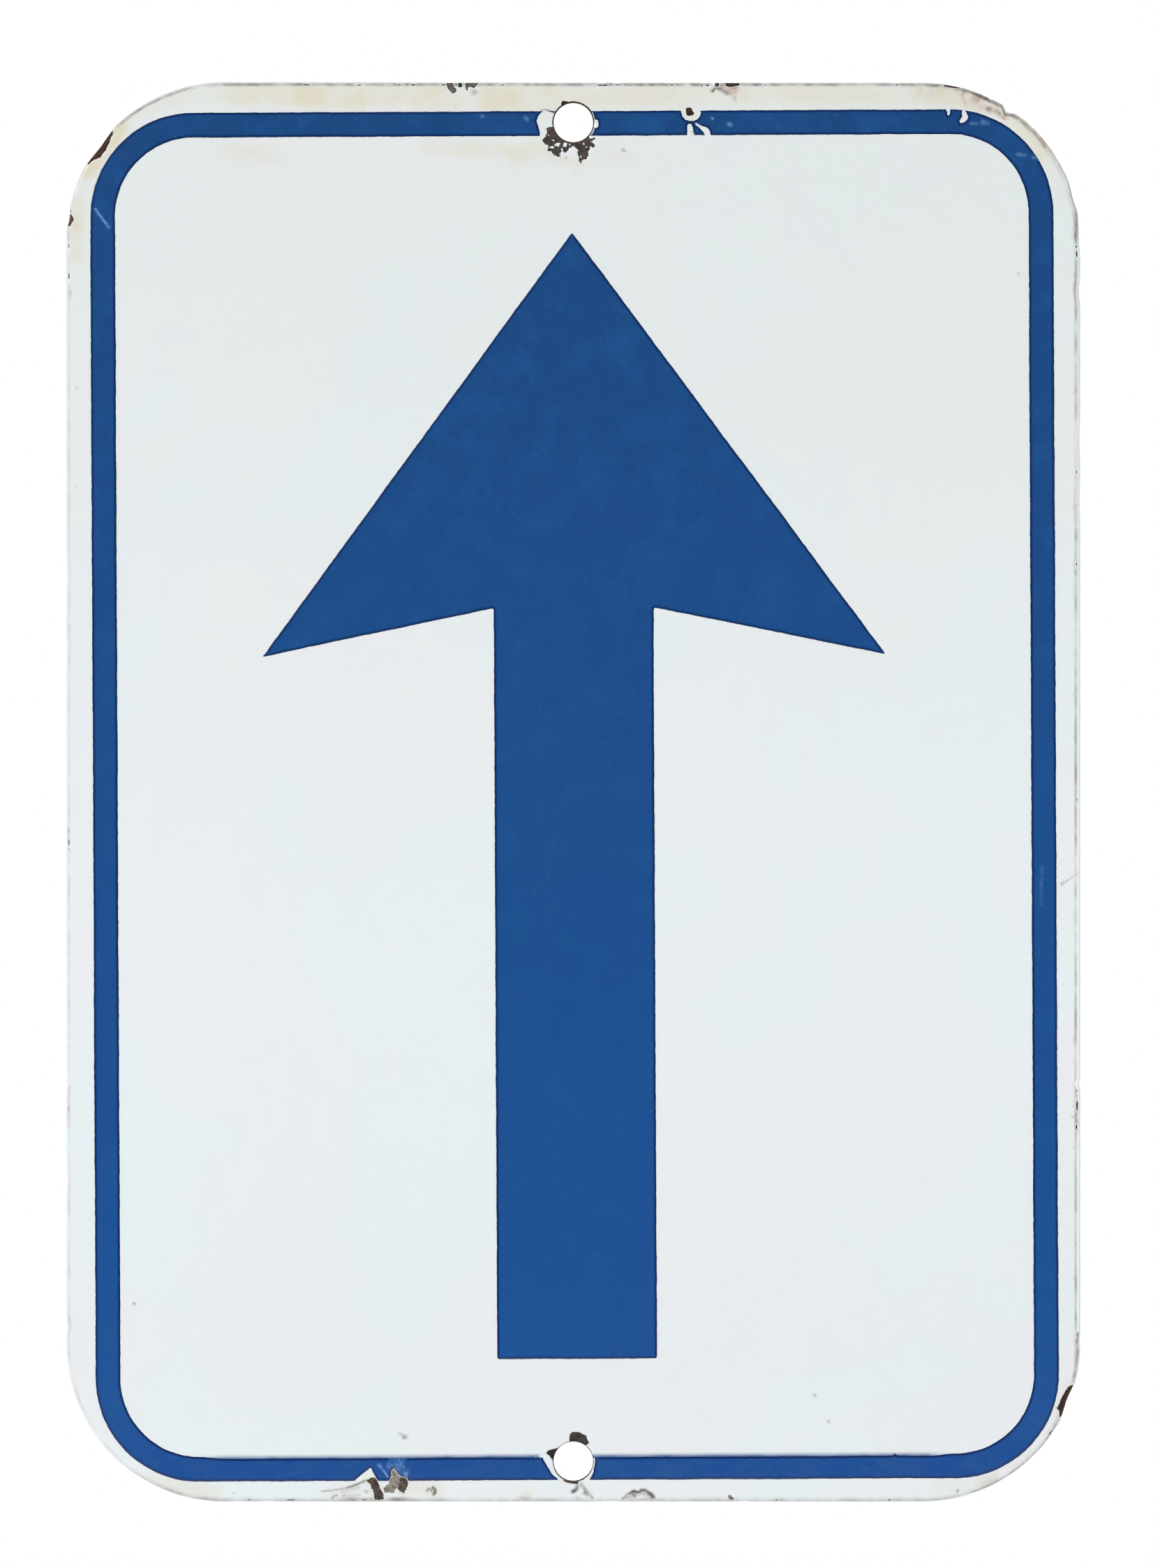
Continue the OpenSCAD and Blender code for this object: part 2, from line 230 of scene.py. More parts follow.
# Marks on the white coat: kind, width, strength, and the line that it follows
MARKS = [
    ("grime", 0.45, 0.55, [(-63.1, -175.1), (-60.7, -174.9), (-58.4, -174.5), (-56.9, -174.3)]),
    ("grime", 0.60, 0.75, [(-56.9, -174.3), (-54.6, -173.5), (-52.1, -172.4)]),
    ("grime", 1.60, 0.22, [(-57.5, -174.9), (-54.0, -173.9)]),
    ("grime", 0.90, 0.50, [(-52.1, -175.1), (-51.7, -175.2)]),
    ("grime", 0.70, 0.65, [(-36.6, -174.9), (-36.1, -174.4), (-35.5, -174.6), (-35.4, -175.1)]),
    ("grime", 0.80, 0.90, [(-35.1, -174.1), (-34.6, -174.6), (-34.6, -175.4), (-35.0, -175.9)]),
    ("stain", 3.0, 0.25, [(-60.5, -175.2), (-54.5, -174.6)]),
    ("grime", 1.10, 0.35, [(-57.5, -176.3), (-53.5, -176.2)]),
    ("grime", 0.60, 0.55, [(-60.4, -177.0), (-60.0, -176.3), (-59.2, -176.1)]),
    ("grime", 0.90, 0.40, [(-56.7, -177.0), (-54.4, -177.0), (-52.7, -177.0), (-50.6, -177.1)]),
    ("grime", 0.90, 0.40, [(-45.2, -177.0), (-43.9, -177.0), (-42.5, -177.0), (-41.1, -177.0)]),
    ("grime", 1.05, 1.00, [(1.1, -173.1), (0.9, -174.3), (0.3, -174.9), (-0.2, -175.1)]),
    ("grime", 1.00, 0.95, [(1.9, -173.3), (2.6, -174.2), (3.2, -174.9), (3.4, -175.4)]),
    ("grime", 1.40, 0.80, [(3.1, -175.4), (3.6, -175.6)]),
    ("grime", 0.80, 0.50, [(4.2, -176.0), (4.8, -176.8)]),
    ("grime", 1.00, 0.35, [(1.1, -176.8), (1.5, -177.0)]),
    ("grime", 0.80, 0.60, [(12.3, -177.0), (13.2, -176.3), (13.5, -175.7), (14.0, -175.6)]),
    ("grime", 0.75, 1.00, [(14.0, -175.6), (14.7, -175.2), (15.2, -175.0), (15.9, -175.3), (16.6, -175.3)]),
    ("grime", 1.70, 0.42, [(13.6, -176.3), (14.8, -175.6), (16.6, -175.5)]),
    ("grime", 1.10, 0.75, [(14.9, -175.4), (15.3, -176.3)]),
    ("grime", 0.90, 0.95, [(16.6, -175.3), (17.0, -174.8), (17.9, -174.8), (18.5, -175.1), (18.8, -175.6)]),
    ("grime", 1.50, 0.45, [(17.4, -175.3), (18.6, -175.8), (19.6, -176.6)]),
    ("grime", 1.20, 0.95, [(18.9, -175.6), (19.5, -175.9), (19.9, -176.5)]),
    ("grime", 0.80, 0.40, [(14.2, -177.1), (16.3, -177.2), (18.1, -177.1), (19.1, -177.1)]),
    ("grime", 1.00, 0.90, [(34.8, 175.7), (35.3, 176.2), (36.0, 176.7)]),
    ("grime", 1.10, 0.80, [(36.0, 176.2), (37.1, 175.8), (37.9, 175.4), (38.4, 174.9)]),
    ("grime", 0.60, 0.60, [(32.1, 177.2), (32.1, 176.4)]),
    ("grime", 2.20, 0.40, [(38.4, 176.1), (40.0, 175.6)]),
    ("grime", 0.80, 0.75, [(36.6, 176.6), (37.6, 176.5)]),
    ("rust", 3.00, 0.85, [(38.4, 176.3), (40.0, 175.7)]),
    ("rust", 1.50, 0.60, [(39.8, 175.4), (40.3, 174.2)]),
    ("rust", 2.60, 0.25, [(41.2, 175.6), (42.6, 175.2)]),
    ("grime", 0.90, 0.22, [(40.3, 173.8), (40.5, 173.0)]),
    ("grime", 1.60, 0.50, [(-25.1, 175.3), (-24.8, 175.1)]),
    ("grime", 0.80, 0.55, [(30.0, 165.2), (30.4, 164.6)]),
    ("grime", 0.75, 0.50, [(12.4, 160.7), (12.9, 160.4)]),
    ("rust", 0.70, 0.70, [(-1.9, 158.7), (-1.8, 158.7)]),
    ("grime", 1.20, 0.80, [(-42.4, -161.4), (-42.0, -161.4)]),
    ("grime", 0.80, 0.45, [(-43.5, -160.6), (-43.0, -160.8)]),
    ("grime", 0.80, 0.50, [(60.3, -151.0), (60.5, -151.0)]),
    ("grime", 0.80, 0.50, [(63.8, -157.6), (64.0, -157.6)]),
    ("grime", 0.80, 0.50, [(-110.0, -128.1), (-109.8, -128.1)]),
    ("grime", 0.80, 0.45, [(111.3, 129.7), (111.5, 129.7)]),
    ("stain", 0.90, 0.90, [(-124.4, 101.1), (-124.1, 100.9)]),
    ("stain", 0.80, 0.90, [(-124.5, 76.6), (-124.3, 76.5)]),
    ("grime", 0.60, 0.40, [(-85.1, -175.6), (-84.8, -175.4)]),
    ("grime", 0.75, 0.60, [(96.1, -175.1), (96.3, -174.9)]),
    ("grime", 0.45, 0.40, [(126.2, -20.5), (124.8, -21.4), (123.1, -22.6)]),
    ("grime", 0.95, 0.45, [(122.5, -22.9), (122.2, -23.0)]),
    ("rust", 3.00, 0.42, [(100.4, 173.7), (101.6, 173.2)]),
    ("rust", 1.80, 0.58, [(100.9, 173.5), (101.6, 173.2)]),
    ("rust", 1.60, 0.60, [(97.6, 174.6), (97.8, 172.8)]),
    ("rust", 1.60, 0.70, [(102.0, 174.5), (104.4, 173.5), (106.7, 172.0)]),
    ("rust", 1.90, 0.68, [(102.2, 172.0), (104.4, 171.0), (106.6, 169.9), (108.4, 169.1)]),
    ("grime", 1.40, 0.42, [(104.0, 171.0), (106.4, 170.0), (108.2, 169.2)]),
    ("grime", 0.80, 0.60, [(88.3, 176.9), (89.8, 176.8), (91.2, 176.8)]),
    ("grime", 0.80, 0.55, [(103.3, 174.2), (104.1, 173.0)]),
    ("grime", 0.80, 0.45, [(105.4, 173.3), (107.6, 171.5)]),
    ("grime", 0.70, 0.70, [(107.8, 171.7), (108.6, 170.4), (109.6, 170.0), (111.3, 169.7)]),
    ("rust", 1.90, 0.44, [(110.2, 169.7), (112.0, 168.6), (114.2, 166.8), (116.8, 163.7), (118.8, 160.9)]),
    ("rust", 0.90, 0.66, [(112.0, 169.1), (114.4, 167.0), (117.0, 164.0), (119.2, 161.0)]),
    ("grime", 0.60, 0.45, [(119.2, 161.0), (121.4, 157.6), (123.2, 154.4), (124.6, 150.2), (125.7, 145.6)]),
    ("grime", 0.80, 0.70, [(125.8, 145.8), (126.1, 141.0), (126.1, 136.5)]),
    ("grime", 0.85, 0.75, [(126.3, -135.5), (126.2, -141.0), (125.8, -144.5), (125.1, -147.6)]),
    ("grime", 0.60, 0.55, [(121.5, -157.3), (119.5, -160.6), (116.8, -164.3), (113.4, -167.7),
                           (108.6, -171.2)]),
    ("grime", 0.60, 0.40, [(108.6, -171.2), (103.8, -173.8), (100.0, -175.3)]),
    ("grime", 0.60, 0.55, [(-114.2, 166.6), (-111.0, 169.2), (-107.6, 171.4), (-103.8, 173.3)]),
    ("grime", 0.60, 0.45, [(-103.8, 173.3), (-99.6, 175.0), (-96.0, 176.2)]),
    ("rust", 0.80, 0.50, [(-93.4, -176.8), (-90.7, -176.9)]),
    ("rust", 0.80, 0.30, [(-101.6, -174.5), (-99.8, -175.4), (-98.4, -175.9)]),
    ("rust", 0.90, 0.35, [(125.9, 127.3), (125.9, 124.5)]),
    ("rust", 0.80, 0.50, [(126.2, -76.0), (126.2, -84.8)]),
    ("rust", 0.70, 0.45, [(-126.4, -9.0), (-126.4, -14.5)]),
    ("rust", 0.80, 0.30, [(-126.4, -73.9), (-126.4, -84.1)]),
    ("rust", 0.80, 0.35, [(-125.9, 125.2), (-126.0, 123.8)]),
    ("rust", 0.80, 0.35, [(98.8, -176.8), (103.3, -175.9)]),
    ("stain", 3.6, 1.00, [(102.0, -173.2), (105.2, -172.0)]),
    ("stain", 2.4, 0.80, [(103.0, -172.6), (104.8, -172.0)]),
    ("rust", 2.6, 0.14, [(102.4, -172.7), (105.4, -171.8)]),
    ("stain", 2.2, 0.60, [(-12.6, -176.4), (-11.0, -175.4)]),
    ("rust", 0.90, 0.30, [(-13.4, -176.6), (-10.4, -177.0)]),
    ("grime", 0.35, 0.80, [(-8.0, 170.6), (-7.2, 170.8), (-6.2, 170.6), (-5.2, 170.2), (-4.7, 169.7)]),
    ("stain", 4.4, 1.00, [(-113.4, 166.0), (-116.0, 162.4), (-119.3, 158.0), (-121.8, 155.0)]),
    ("stain", 3.6, 1.00, [(-123.9, 147.0), (-124.2, 141.5)]),
    ("stain", 4.0, 0.45, [(-122.4, 154.5), (-124.4, 148.0), (-124.4, 134.0)]),
    ("stain", 4.0, 0.30, [(-110.0, 169.5), (-104.0, 172.0)]),
    ("stain", 5.0, 0.45, [(-101.0, 173.5), (-92.0, 174.8), (-78.0, 175.0)]),
    ("stain", 7.0, 0.85, [(-68.0, 174.2), (-54.0, 174.0)]),
    ("stain", 6.0, 0.60, [(-85.0, 174.5), (-20.0, 174.3)]),
    ("stain", 7.0, 0.80, [(-38.0, 174.0), (-30.0, 173.8)]),
    ("stain", 7.5, 0.90, [(-22.0, 173.8), (-5.0, 173.4)]),
    ("stain", 6.0, 0.55, [(-3.0, 174.0), (40.0, 174.3), (88.0, 174.6)]),
    ("stain", 6.0, 1.00, [(88.0, 175.0), (95.0, 174.6), (101.5, 172.9)]),
    ("rust", 6.0, 0.14, [(87.0, 174.8), (95.0, 174.6), (103.5, 172.4)]),
    ("stain", 5.0, 0.60, [(101.5, 172.9), (107.0, 169.8), (113.0, 165.2), (117.6, 160.0)]),
    ("stain", 4.0, 0.25, [(117.6, 160.0), (120.8, 154.8), (123.0, 149.0)]),
    ("stain", 4.2, 0.42, [(-88.0, 160.8), (-74.0, 159.0)]),
    ("stain", 4.0, 0.52, [(-36.0, 161.8), (-22.0, 160.4), (-9.0, 159.4)]),
    ("stain", 4.0, 0.30, [(7.0, 160.0), (14.0, 158.8)]),
    ("stain", 3.0, 0.50, [(-9.5, 162.3), (-3.0, 157.6), (2.5, 157.0)]),
    ("stain", 4.5, 0.40, [(-120.0, -163.5), (-112.0, -171.0), (-90.0, -175.0)]),
    ("stain", 3.0, 0.50, [(-100.5, -174.8), (-99.0, -175.4)]),
    ("stain", 5.0, 0.22, [(92.0, -174.0), (105.0, -172.5), (118.0, -164.0)]),
    ("stain", 4.0, 0.35, [(-41.0, -173.5), (-34.0, -175.0)]),
]

# Light grazes on the blue line: width, strength, and the line that each follows
GRAZES = [
    (0.65, 0.55, [(-119.6, 145.9), (-118.0, 143.6), (-116.2, 141.2)]),
    (0.90, 1.00, [(-48.7, -168.5), (-48.2, -169.0)]),
    (0.60, 0.60, [(-48.2, -169.0), (-47.2, -170.2), (-46.4, -171.4)]),
    (0.70, 0.75, [(34.7, 168.6), (34.9, 168.4)]),
    (1.10, 0.40, [(38.9, 167.1), (39.3, 167.0)]),
    (0.80, 0.60, [(30.7, 167.2), (31.7, 166.6)]),
    (0.90, 0.30, [(-22.9, 169.2), (-22.7, 169.0)]),
    (1.00, 0.28, [(-12.0, 168.7), (-11.5, 168.2)]),
    (0.80, 0.30, [(99.6, 167.3), (100.9, 167.2)]),
    (1.20, 0.32, [(102.4, 167.6), (103.6, 167.3)]),
    (0.90, 0.28, [(111.2, 159.6), (113.0, 159.2)]),
    (0.80, 0.32, [(115.0, 158.8), (116.2, 158.6)]),
    (0.90, 0.16, [(117.2, -18.5), (117.0, -28.0)]),
    (0.90, 0.35, [(-45.8, -168.3), (-46.0, -169.3)]),
    (1.00, 0.40, [(-44.6, -167.6), (-44.2, -168.4)]),
    (0.90, 0.30, [(-43.4, -168.2), (-43.2, -169.6)]),
    (0.80, 0.60, [(-42.0, -170.5), (-41.8, -171.2)]),
]

# Where a blow left a patch of short scuffs on the line: middle, reach across and up, how many
SCUFFED = [(-44.6, -168.6, 1.7, 2.0, 16), (-43.2, -168.4, 1.0, 1.9, 12), (-41.8, -169.6, 0.6, 1.6, 8)]

# The dark line along the top, right, bottom and left roll, dirt and, at the right and the bottom, painted
# shade where
# the roll turns from the light: how far past the flat, how broad inwards and outwards, and how strong
EDGE_DIRT_AND_SHADE = [(0.35, 0.44, 0.52, 0.66), (-0.18, 0.34, 0.50, 0.44), (0.80, 0.95, 0.80, 0.28),
             (0.40, 0.40, 0.40, 0.22)]

# The print's faint second edge above the bottom line: how far the line's own edge lies under its drawn
# place, how far the faint one rises over it, and how far it reaches from the middle to each side
GHOST_DROP, GHOST_RISE = 0.55, 0.52
GHOST_REACH = 95.0

# A drop of blue on that edge: its place, how far round it reaches, and how high
NUB_X, NUB_Z, NUB_R, NUB_RISE = 79.4, -164.9, 0.7, 0.8

# Marks narrower than this get rows of points of their own
FINE_W = 2.0

# Flat geometry

# The noise repeats after so many cells
NOISE_CELLS = 97


def ease(value):
    """0 to 1 with soft ends."""
    value = np.clip(value, 0.0, 1.0)
    return value * value * (3 - 2 * value)


def mottle(points, size, seed):
    """Smooth noise from -1 to 1 with cells of this size."""
    cells = np.random.default_rng(seed).uniform(-1, 1, (NOISE_CELLS, NOISE_CELLS))
    cell = np.floor(points / size).astype(int)
    across, up = ease(points / size - cell).T
    (left, below), (right, above) = (cell % NOISE_CELLS).T, ((cell + 1) % NOISE_CELLS).T
    bottom = cells[left, below] * (1 - across) + cells[right, below] * across
    top = cells[left, above] * (1 - across) + cells[right, above] * across
    return bottom * (1 - up) + top * up


def from_core(points):
    """How far each point lies outside the core rectangle, and in which direction."""
    beyond = np.maximum(np.abs(points) - HALF, 0)
    rho = np.hypot(beyond[:, 0], beyond[:, 1])
    way = np.sign(points) * beyond / np.maximum(rho, 1e-9)[:, None]
    return rho, way


def from_hole(points):
    """How far each point lies from the middle of the nearer hole."""
    return np.min([np.hypot(*(points - centre).T) for centre in HOLE_CENTRES], axis=0)


def edge_wear(points, rho, way):
    """How far the worn edge of the sheet lies inside its drawn outline."""
    rim = points + way * (CORNER_R - rho)[:, None]
    wear = 0.025 * (1 + mottle(rim, 7.0, 91)) + 0.02 * (1 + mottle(rim, 1.7, 92))
    for x, z, reach, depth in EDGE_DENTS:
        wear += depth * ease(1 - np.hypot(rim[:, 0] - x, rim[:, 1] - z) / reach)
    return wear * ease((rho - FLAT + 3.0) / 3.0)


def wrap(points, height):
    """Lays points of the flat pattern over the face and its rolled edge, at a height above the steel."""
    rho, way = from_core(points)
    past = np.maximum(rho - FLAT, 0)
    angle = np.minimum(past / ROLL, math.pi / 2)
    reach = np.where(past > 0, FLAT + (EDGE_R + height) * np.sin(angle), rho)
    y = -(SHEET_T - EDGE_R) - (EDGE_R + height) * np.cos(angle) + np.maximum(past - ARC, 0)
    place = points + way * (reach - rho - edge_wear(points, rho, way))[:, None]
    return np.column_stack([place[:, 0], y, place[:, 1]])


def unroll(points):
    """Turns places seen from the front into places on the flat pattern, which is longer at the roll.
    What is drawn outside the outline goes on down the edge, and further than it is drawn."""
    further = 1.6
    points = np.array(points, float)
    rho, way = from_core(points)
    past = ROLL * np.arcsin(np.clip((rho - FLAT) / ROLL, 0, 1))
    laid = np.where(rho > FLAT, FLAT + past + further * np.maximum(rho - CORNER_R, 0), rho)
    return points + way * (laid - rho)[:, None]


def normals(loop):
    """Outward direction at each point of a loop that runs anticlockwise."""
    along = np.roll(loop, -1, axis=0) - np.roll(loop, 1, axis=0)
    along /= np.maximum(np.hypot(along[:, 0], along[:, 1]), 1e-9)[:, None]
    return np.column_stack([along[:, 1], -along[:, 0]])


def anticlockwise(loop):
    loop = np.array(loop, float)
    ends = np.roll(loop, -1, axis=0)
    area = np.sum(loop[:, 0] * ends[:, 1] - ends[:, 0] * loop[:, 1])
    return loop if area > 0 else loop[::-1].copy()


def broken(outline, rag, seed, grow=0.0, step=0.16):
    """The fine, ragged outline of a break. The same seed gives the same teeth at any growth."""
    coarse = anticlockwise(outline)
    grown = coarse + grow * normals(coarse)
    fine = []
    for i, length in enumerate(np.hypot(*(np.roll(coarse, -1, axis=0) - coarse).T)):
        count = max(2, round(length / step))
        part = np.arange(count)[:, None] / count
        fine.append(grown[i] + (grown[(i + 1) % len(grown)] - grown[i]) * part)
    fine = np.vstack(fine)
    dice = np.random.default_rng(seed)
    teeth = dice.uniform(-1, 1, len(fine))
    wide = np.convolve(np.tile(dice.uniform(-1, 1, len(fine)), 3), np.hanning(7) / 3, "same")
    wide = wide[len(fine):2 * len(fine)]
    return fine + normals(fine) * (rag * (0.5 * teeth + 1.1 * wide))[:, None]


def inside(points, loop):
    """Which of the points lie inside a closed loop."""
    order = np.argsort(points[:, 1])
    x, z = points[order, 0], points[order, 1]
    odd = np.zeros(len(points), bool)
    ends = np.roll(loop, -1, axis=0)
    first = np.searchsorted(z, np.minimum(loop[:, 1], ends[:, 1]))
    last = np.searchsorted(z, np.maximum(loop[:, 1], ends[:, 1]))
    for a, b, i, j in zip(loop, ends, first, last):
        if i < j:
            odd[i:j] ^= x[i:j] < a[0] + (b[0] - a[0]) * (z[i:j] - a[1]) / (b[1] - a[1])
    result = np.empty(len(points), bool)
    result[order] = odd
    return result


def within_any(points, loops):
    return np.any([inside(points, loop) for loop in loops], axis=0)


def distance(points, line, closed, reach):
    """How far each point lies from a line, counted no further than the reach."""
    line = np.array(line, float)
    ends = np.roll(line, -1, axis=0)
    if not closed:
        line, ends = line[:-1], ends[:-1]
    result = np.full(len(points), float(reach))
    low, high = np.minimum(line, ends).min(0) - reach, np.maximum(line, ends).max(0) + reach
    near = np.nonzero(np.all((points > low) & (points < high), axis=1))[0]
    along = ends - line
    length = np.maximum(np.sum(along * along, axis=1), 1e-12)
    at_once = 1500
    for start in range(0, len(near), at_once):
        some = near[start:start + at_once]
        off = points[some][:, None, :] - line[None]
        part = np.clip(np.sum(off * along, axis=2) / length, 0, 1)
        gap = off - part[:, :, None] * along
        result[some] = np.minimum(reach, np.sqrt(np.min(np.sum(gap * gap, axis=2), axis=1)))
    return result


def nearest(points, loops, reach):
    """How far each point lies from the nearest of the loops, counted no further than the reach."""
    result = np.full(len(points), float(reach))
    for loop in loops:
        result = np.minimum(result, distance(points, loop, True, reach))
    return result


def scattered(low, high, spacing, seed):
    """A shaken grid of points over a box."""
    across = np.arange(low[0], high[0], spacing)
    up = np.arange(low[1], high[1], spacing)
    grid = np.stack(np.meshgrid(across, up), axis=-1).reshape(-1, 2)
    return grid + np.random.default_rng(seed).uniform(-0.3, 0.3, grid.shape) * spacing


def over_face(spacing, seed, low, high):
    """A shaken grid over the face, kept where its distance from the core lies between two values."""
    grid = scattered(-HALF - FLAT, HALF + FLAT, spacing, seed)
    rho = from_core(grid)[0]
    return grid[(rho >= low) & (rho < high)]


def circle(centre, radius, count=HOLE_STEPS):
    turn = np.arange(count) * 2 * math.pi / count
    return np.column_stack([centre[0] + radius * np.cos(turn), centre[1] + radius * np.sin(turn)])


def hole_rings(radius, gaps):
    """Circles round both holes, these gaps outside a radius."""
    return np.vstack([circle(centre, radius + gap) for centre in HOLE_CENTRES for gap in gaps])


def rounded(half, radius, corner_steps, top_steps, side_steps):
    """An anticlockwise loop at one distance round a rectangle, given by half its width and height."""
    signs = np.array([(1, 1), (-1, 1), (-1, -1), (1, -1)])
    parts = []
    for quarter in range(4):
        centre, following = half * signs[quarter], half * signs[(quarter + 1) % 4]
        turn = (quarter + np.arange(corner_steps + 1) / corner_steps) * math.pi / 2
        arc = centre + radius * np.column_stack([np.cos(turn), np.sin(turn)])
        steps = side_steps if quarter % 2 else top_steps
        parts += [arc[:-1], arc[-1] + (following - centre) * np.arange(steps)[:, None] / steps]
    return np.vstack(parts)


def edge_ring(rho):
    """A loop at one distance from the core, with its points level with those of every other ring."""
    return rounded(HALF, rho, corner_steps=52, top_steps=134, side_steps=212)


def print_loop(inset, step):
    """The outline of the border line, or a loop this far inside it."""
    radius = BORDER_R - inset
    half = np.array([SIGN_W, SIGN_H]) / 2 - BORDER_GAP - BORDER_R
    straights = [round(2 * run / step) for run in half]
    return rounded(half, radius, max(3, round(radius * math.pi / 2 / step)), *straights)


def in_register(points):
    """Shifts and turns the print as it was laid on the sheet."""
    c, s = math.cos(REGISTER_TURN), math.sin(REGISTER_TURN)
    return points @ np.array([[c, s], [-s, c]]) + (REGISTER_X, REGISTER_Y)


# Meshes


def triangulate(loops, loose):
    """Triangles over loose points and closed loops, which stay as lines of edges.
    Gives the points, the triangles, the middle of each triangle, and for each point the number of the point
    that it came from, or -1."""
    points = np.vstack([*loops, loose])
    edges, start = [], 0
    for loop in loops:
        edges += [(start + i, start + (i + 1) % len(loop)) for i in range(len(loop))]
        start += len(loop)
    made = delaunay_2d_cdt([Vector(p) for p in points.tolist()], edges, [], 0, 1e-5, True)
    placed = np.array([p[:] for p in made[0]])
    triangles = np.array(made[2])
    source = np.array([min(ids) if ids else -1 for ids in made[3]])
    a, b, c = (placed[triangles[:, k]] for k in range(3))
    area = (b[:, 0] - a[:, 0]) * (c[:, 1] - a[:, 1]) - (b[:, 1] - a[:, 1]) * (c[:, 0] - a[:, 0])
    triangles[area < 0] = triangles[area < 0][:, ::-1]
    triangles = triangles[np.abs(area) > 1e-9]
    return placed, triangles, placed[triangles].mean(1), source


def closed_coat(points, triangles, top, under):
    """A closed skin: triangles at the top height, again at the under height, and walls round open edges."""
    used, flat = np.unique(triangles, return_inverse=True)
    flat = flat.reshape(-1, 3)
    count = len(used)
    skin = np.vstack([wrap(points[used], top[used]), wrap(points[used], under[used])])
    edges = np.vstack([flat[:, [0, 1]], flat[:, [1, 2]], flat[:, [2, 0]]])
    forward = edges[:, 0].astype(np.int64) * count + edges[:, 1]
    backward = edges[:, 1].astype(np.int64) * count + edges[:, 0]
    rim = edges[~np.isin(forward, backward)]
    walls = np.column_stack([rim[:, 1], rim[:, 0], rim[:, 0] + count, rim[:, 1] + count])
    faces = flat.tolist() + (flat[:, ::-1] + count).tolist() + walls.tolist()
    return skin, faces, used


def make_piece(name, skin, faces, material, values, sharp):
    """A mesh object in metres at the origin, with a number per point for each named value."""
    mesh = bpy.data.meshes.new(name)
    mesh.from_pydata((skin * MM).tolist(), [], faces)
    for value, numbers in values.items():
        mesh.attributes.new(value, "FLOAT", "POINT").data.foreach_set("value", numbers.astype(np.float32))
    mesh.materials.append(material)
    mesh.polygons.foreach_set("use_smooth", [True] * len(mesh.polygons))
    mesh.set_sharp_from_angle(angle=math.radians(sharp))
    mesh.validate()
    mesh.update()
    return show(name, mesh)


def show(name, data):
    """An object of this mesh, lamp or camera, in the scene."""
    made = bpy.data.objects.new(name, data)
    bpy.context.scene.collection.objects.link(made)
    return made


# Breaks laid on the flat pattern


def bare_breaks(grow=0.0):
    """The outline of every flake that took both coats, with its rust and its powder."""
    seed = 100
    for where, flakes in BARE.items():
        for outline, rag, rust, powder in flakes:
            seed += 1
            yield unroll(broken(np.array(outline) + ORIGINS[where], rag, seed, grow)), rust, powder


def print_breaks():
    """The outline of every place where the blue alone is gone."""
    seed = 300
    for where, flakes in PRINT_LOST.items():
        for outline in flakes:
            seed += 1
            yield broken(np.array(outline) + ORIGINS[where], 0.07, seed)


def nick_breaks():
    """Thin breaks along the roll, one after another within each listed stretch."""
    dice = np.random.default_rng(57)
    past_flat = {"top": 0.34, "right": 0.12, "bottom": 0.75, "left": 0.45}
    for side, stretches in NICKS.items():
        for start, end in stretches:
            place = start
            while place < end - 0.3:
                length = min(end - place, dice.uniform(0.9, 3.2))
                width = dice.uniform(0.36, 0.62)
                sunk = FLAT + past_flat[side] + dice.uniform(-0.08, 0.08)
                steps = max(4, int(length / 0.35))
                along = np.concatenate([np.linspace(0, 1, steps), np.linspace(1, 0, steps)[1:-1]])
                belly = np.sin(np.pi * np.clip(along, 0.02, 0.98)) ** 0.5
                out = np.concatenate([np.ones(steps), -np.ones(steps - 2)])
                rough = dice.uniform(0.55, 1.2, len(along))
                across = sunk + out * belly * rough * width / 2
                run = place + along * length
                toward = 1 if side in ("top", "right") else -1
                if side in ("top", "bottom"):
                    loop = np.column_stack([run, toward * (HALF[1] + across)])
                else:
                    loop = np.column_stack([toward * (HALF[0] + across), run])
                yield anticlockwise(loop), dice.uniform(0.0, 0.7)
                place += length + dice.uniform(0.15, 0.9)


def scuffs():
    """Short, nearly upright scratches of uneven strength where the line was struck."""
    dice = np.random.default_rng(63)
    for x, z, across, up, count in SCUFFED:
        for _ in range(count):
            start = np.array([x, z]) + dice.uniform(-1, 1, 2) * (across, up)
            lean, length = dice.normal(0.0, 0.3), dice.uniform(0.6, 2.2)
            end = start + length * np.array([math.sin(lean), -math.cos(lean)])
            yield dice.uniform(0.4, 0.9), dice.uniform(0.08, 0.42), [tuple(start), tuple(end)]


grazes = [*GRAZES, *scuffs()]
bare_loops = list(bare_breaks())
nick_loops = list(nick_breaks())
held_loops = [broken(circle((0, 0), 0.5, 7) * (across, up) + (x, z + HOLE_Z), 0.24 * up, 400 + i, step=0.12)
              for i, (x, z, across, up) in enumerate(HELD)]
lost_loops = list(print_breaks())
coat_mouths = [broken(circle(centre, COAT_HOLE_R - inside_by, 24), 0.08, 450 + i, step=0.35)
               for i, (centre, inside_by) in enumerate(zip(HOLE_CENTRES, (0.06, 0.2)))]
break_loops = [loop for loop, *_ in bare_loops + nick_loops]
snap_loops = break_loops + held_loops
laid_marks = [(kind, (width, strength, unroll(line))) for kind, width, strength, line in MARKS]


def around(loops, gaps):
    """Rows of points a little outside each loop, to shape the slope of the break."""
    rows = []
    for loop in loops:
        for gap in gaps:
            row = loop + gap * normals(loop)
            rows.append(row[distance(row, loop, True, gap) > 0.75 * gap])
    return np.vstack(rows)


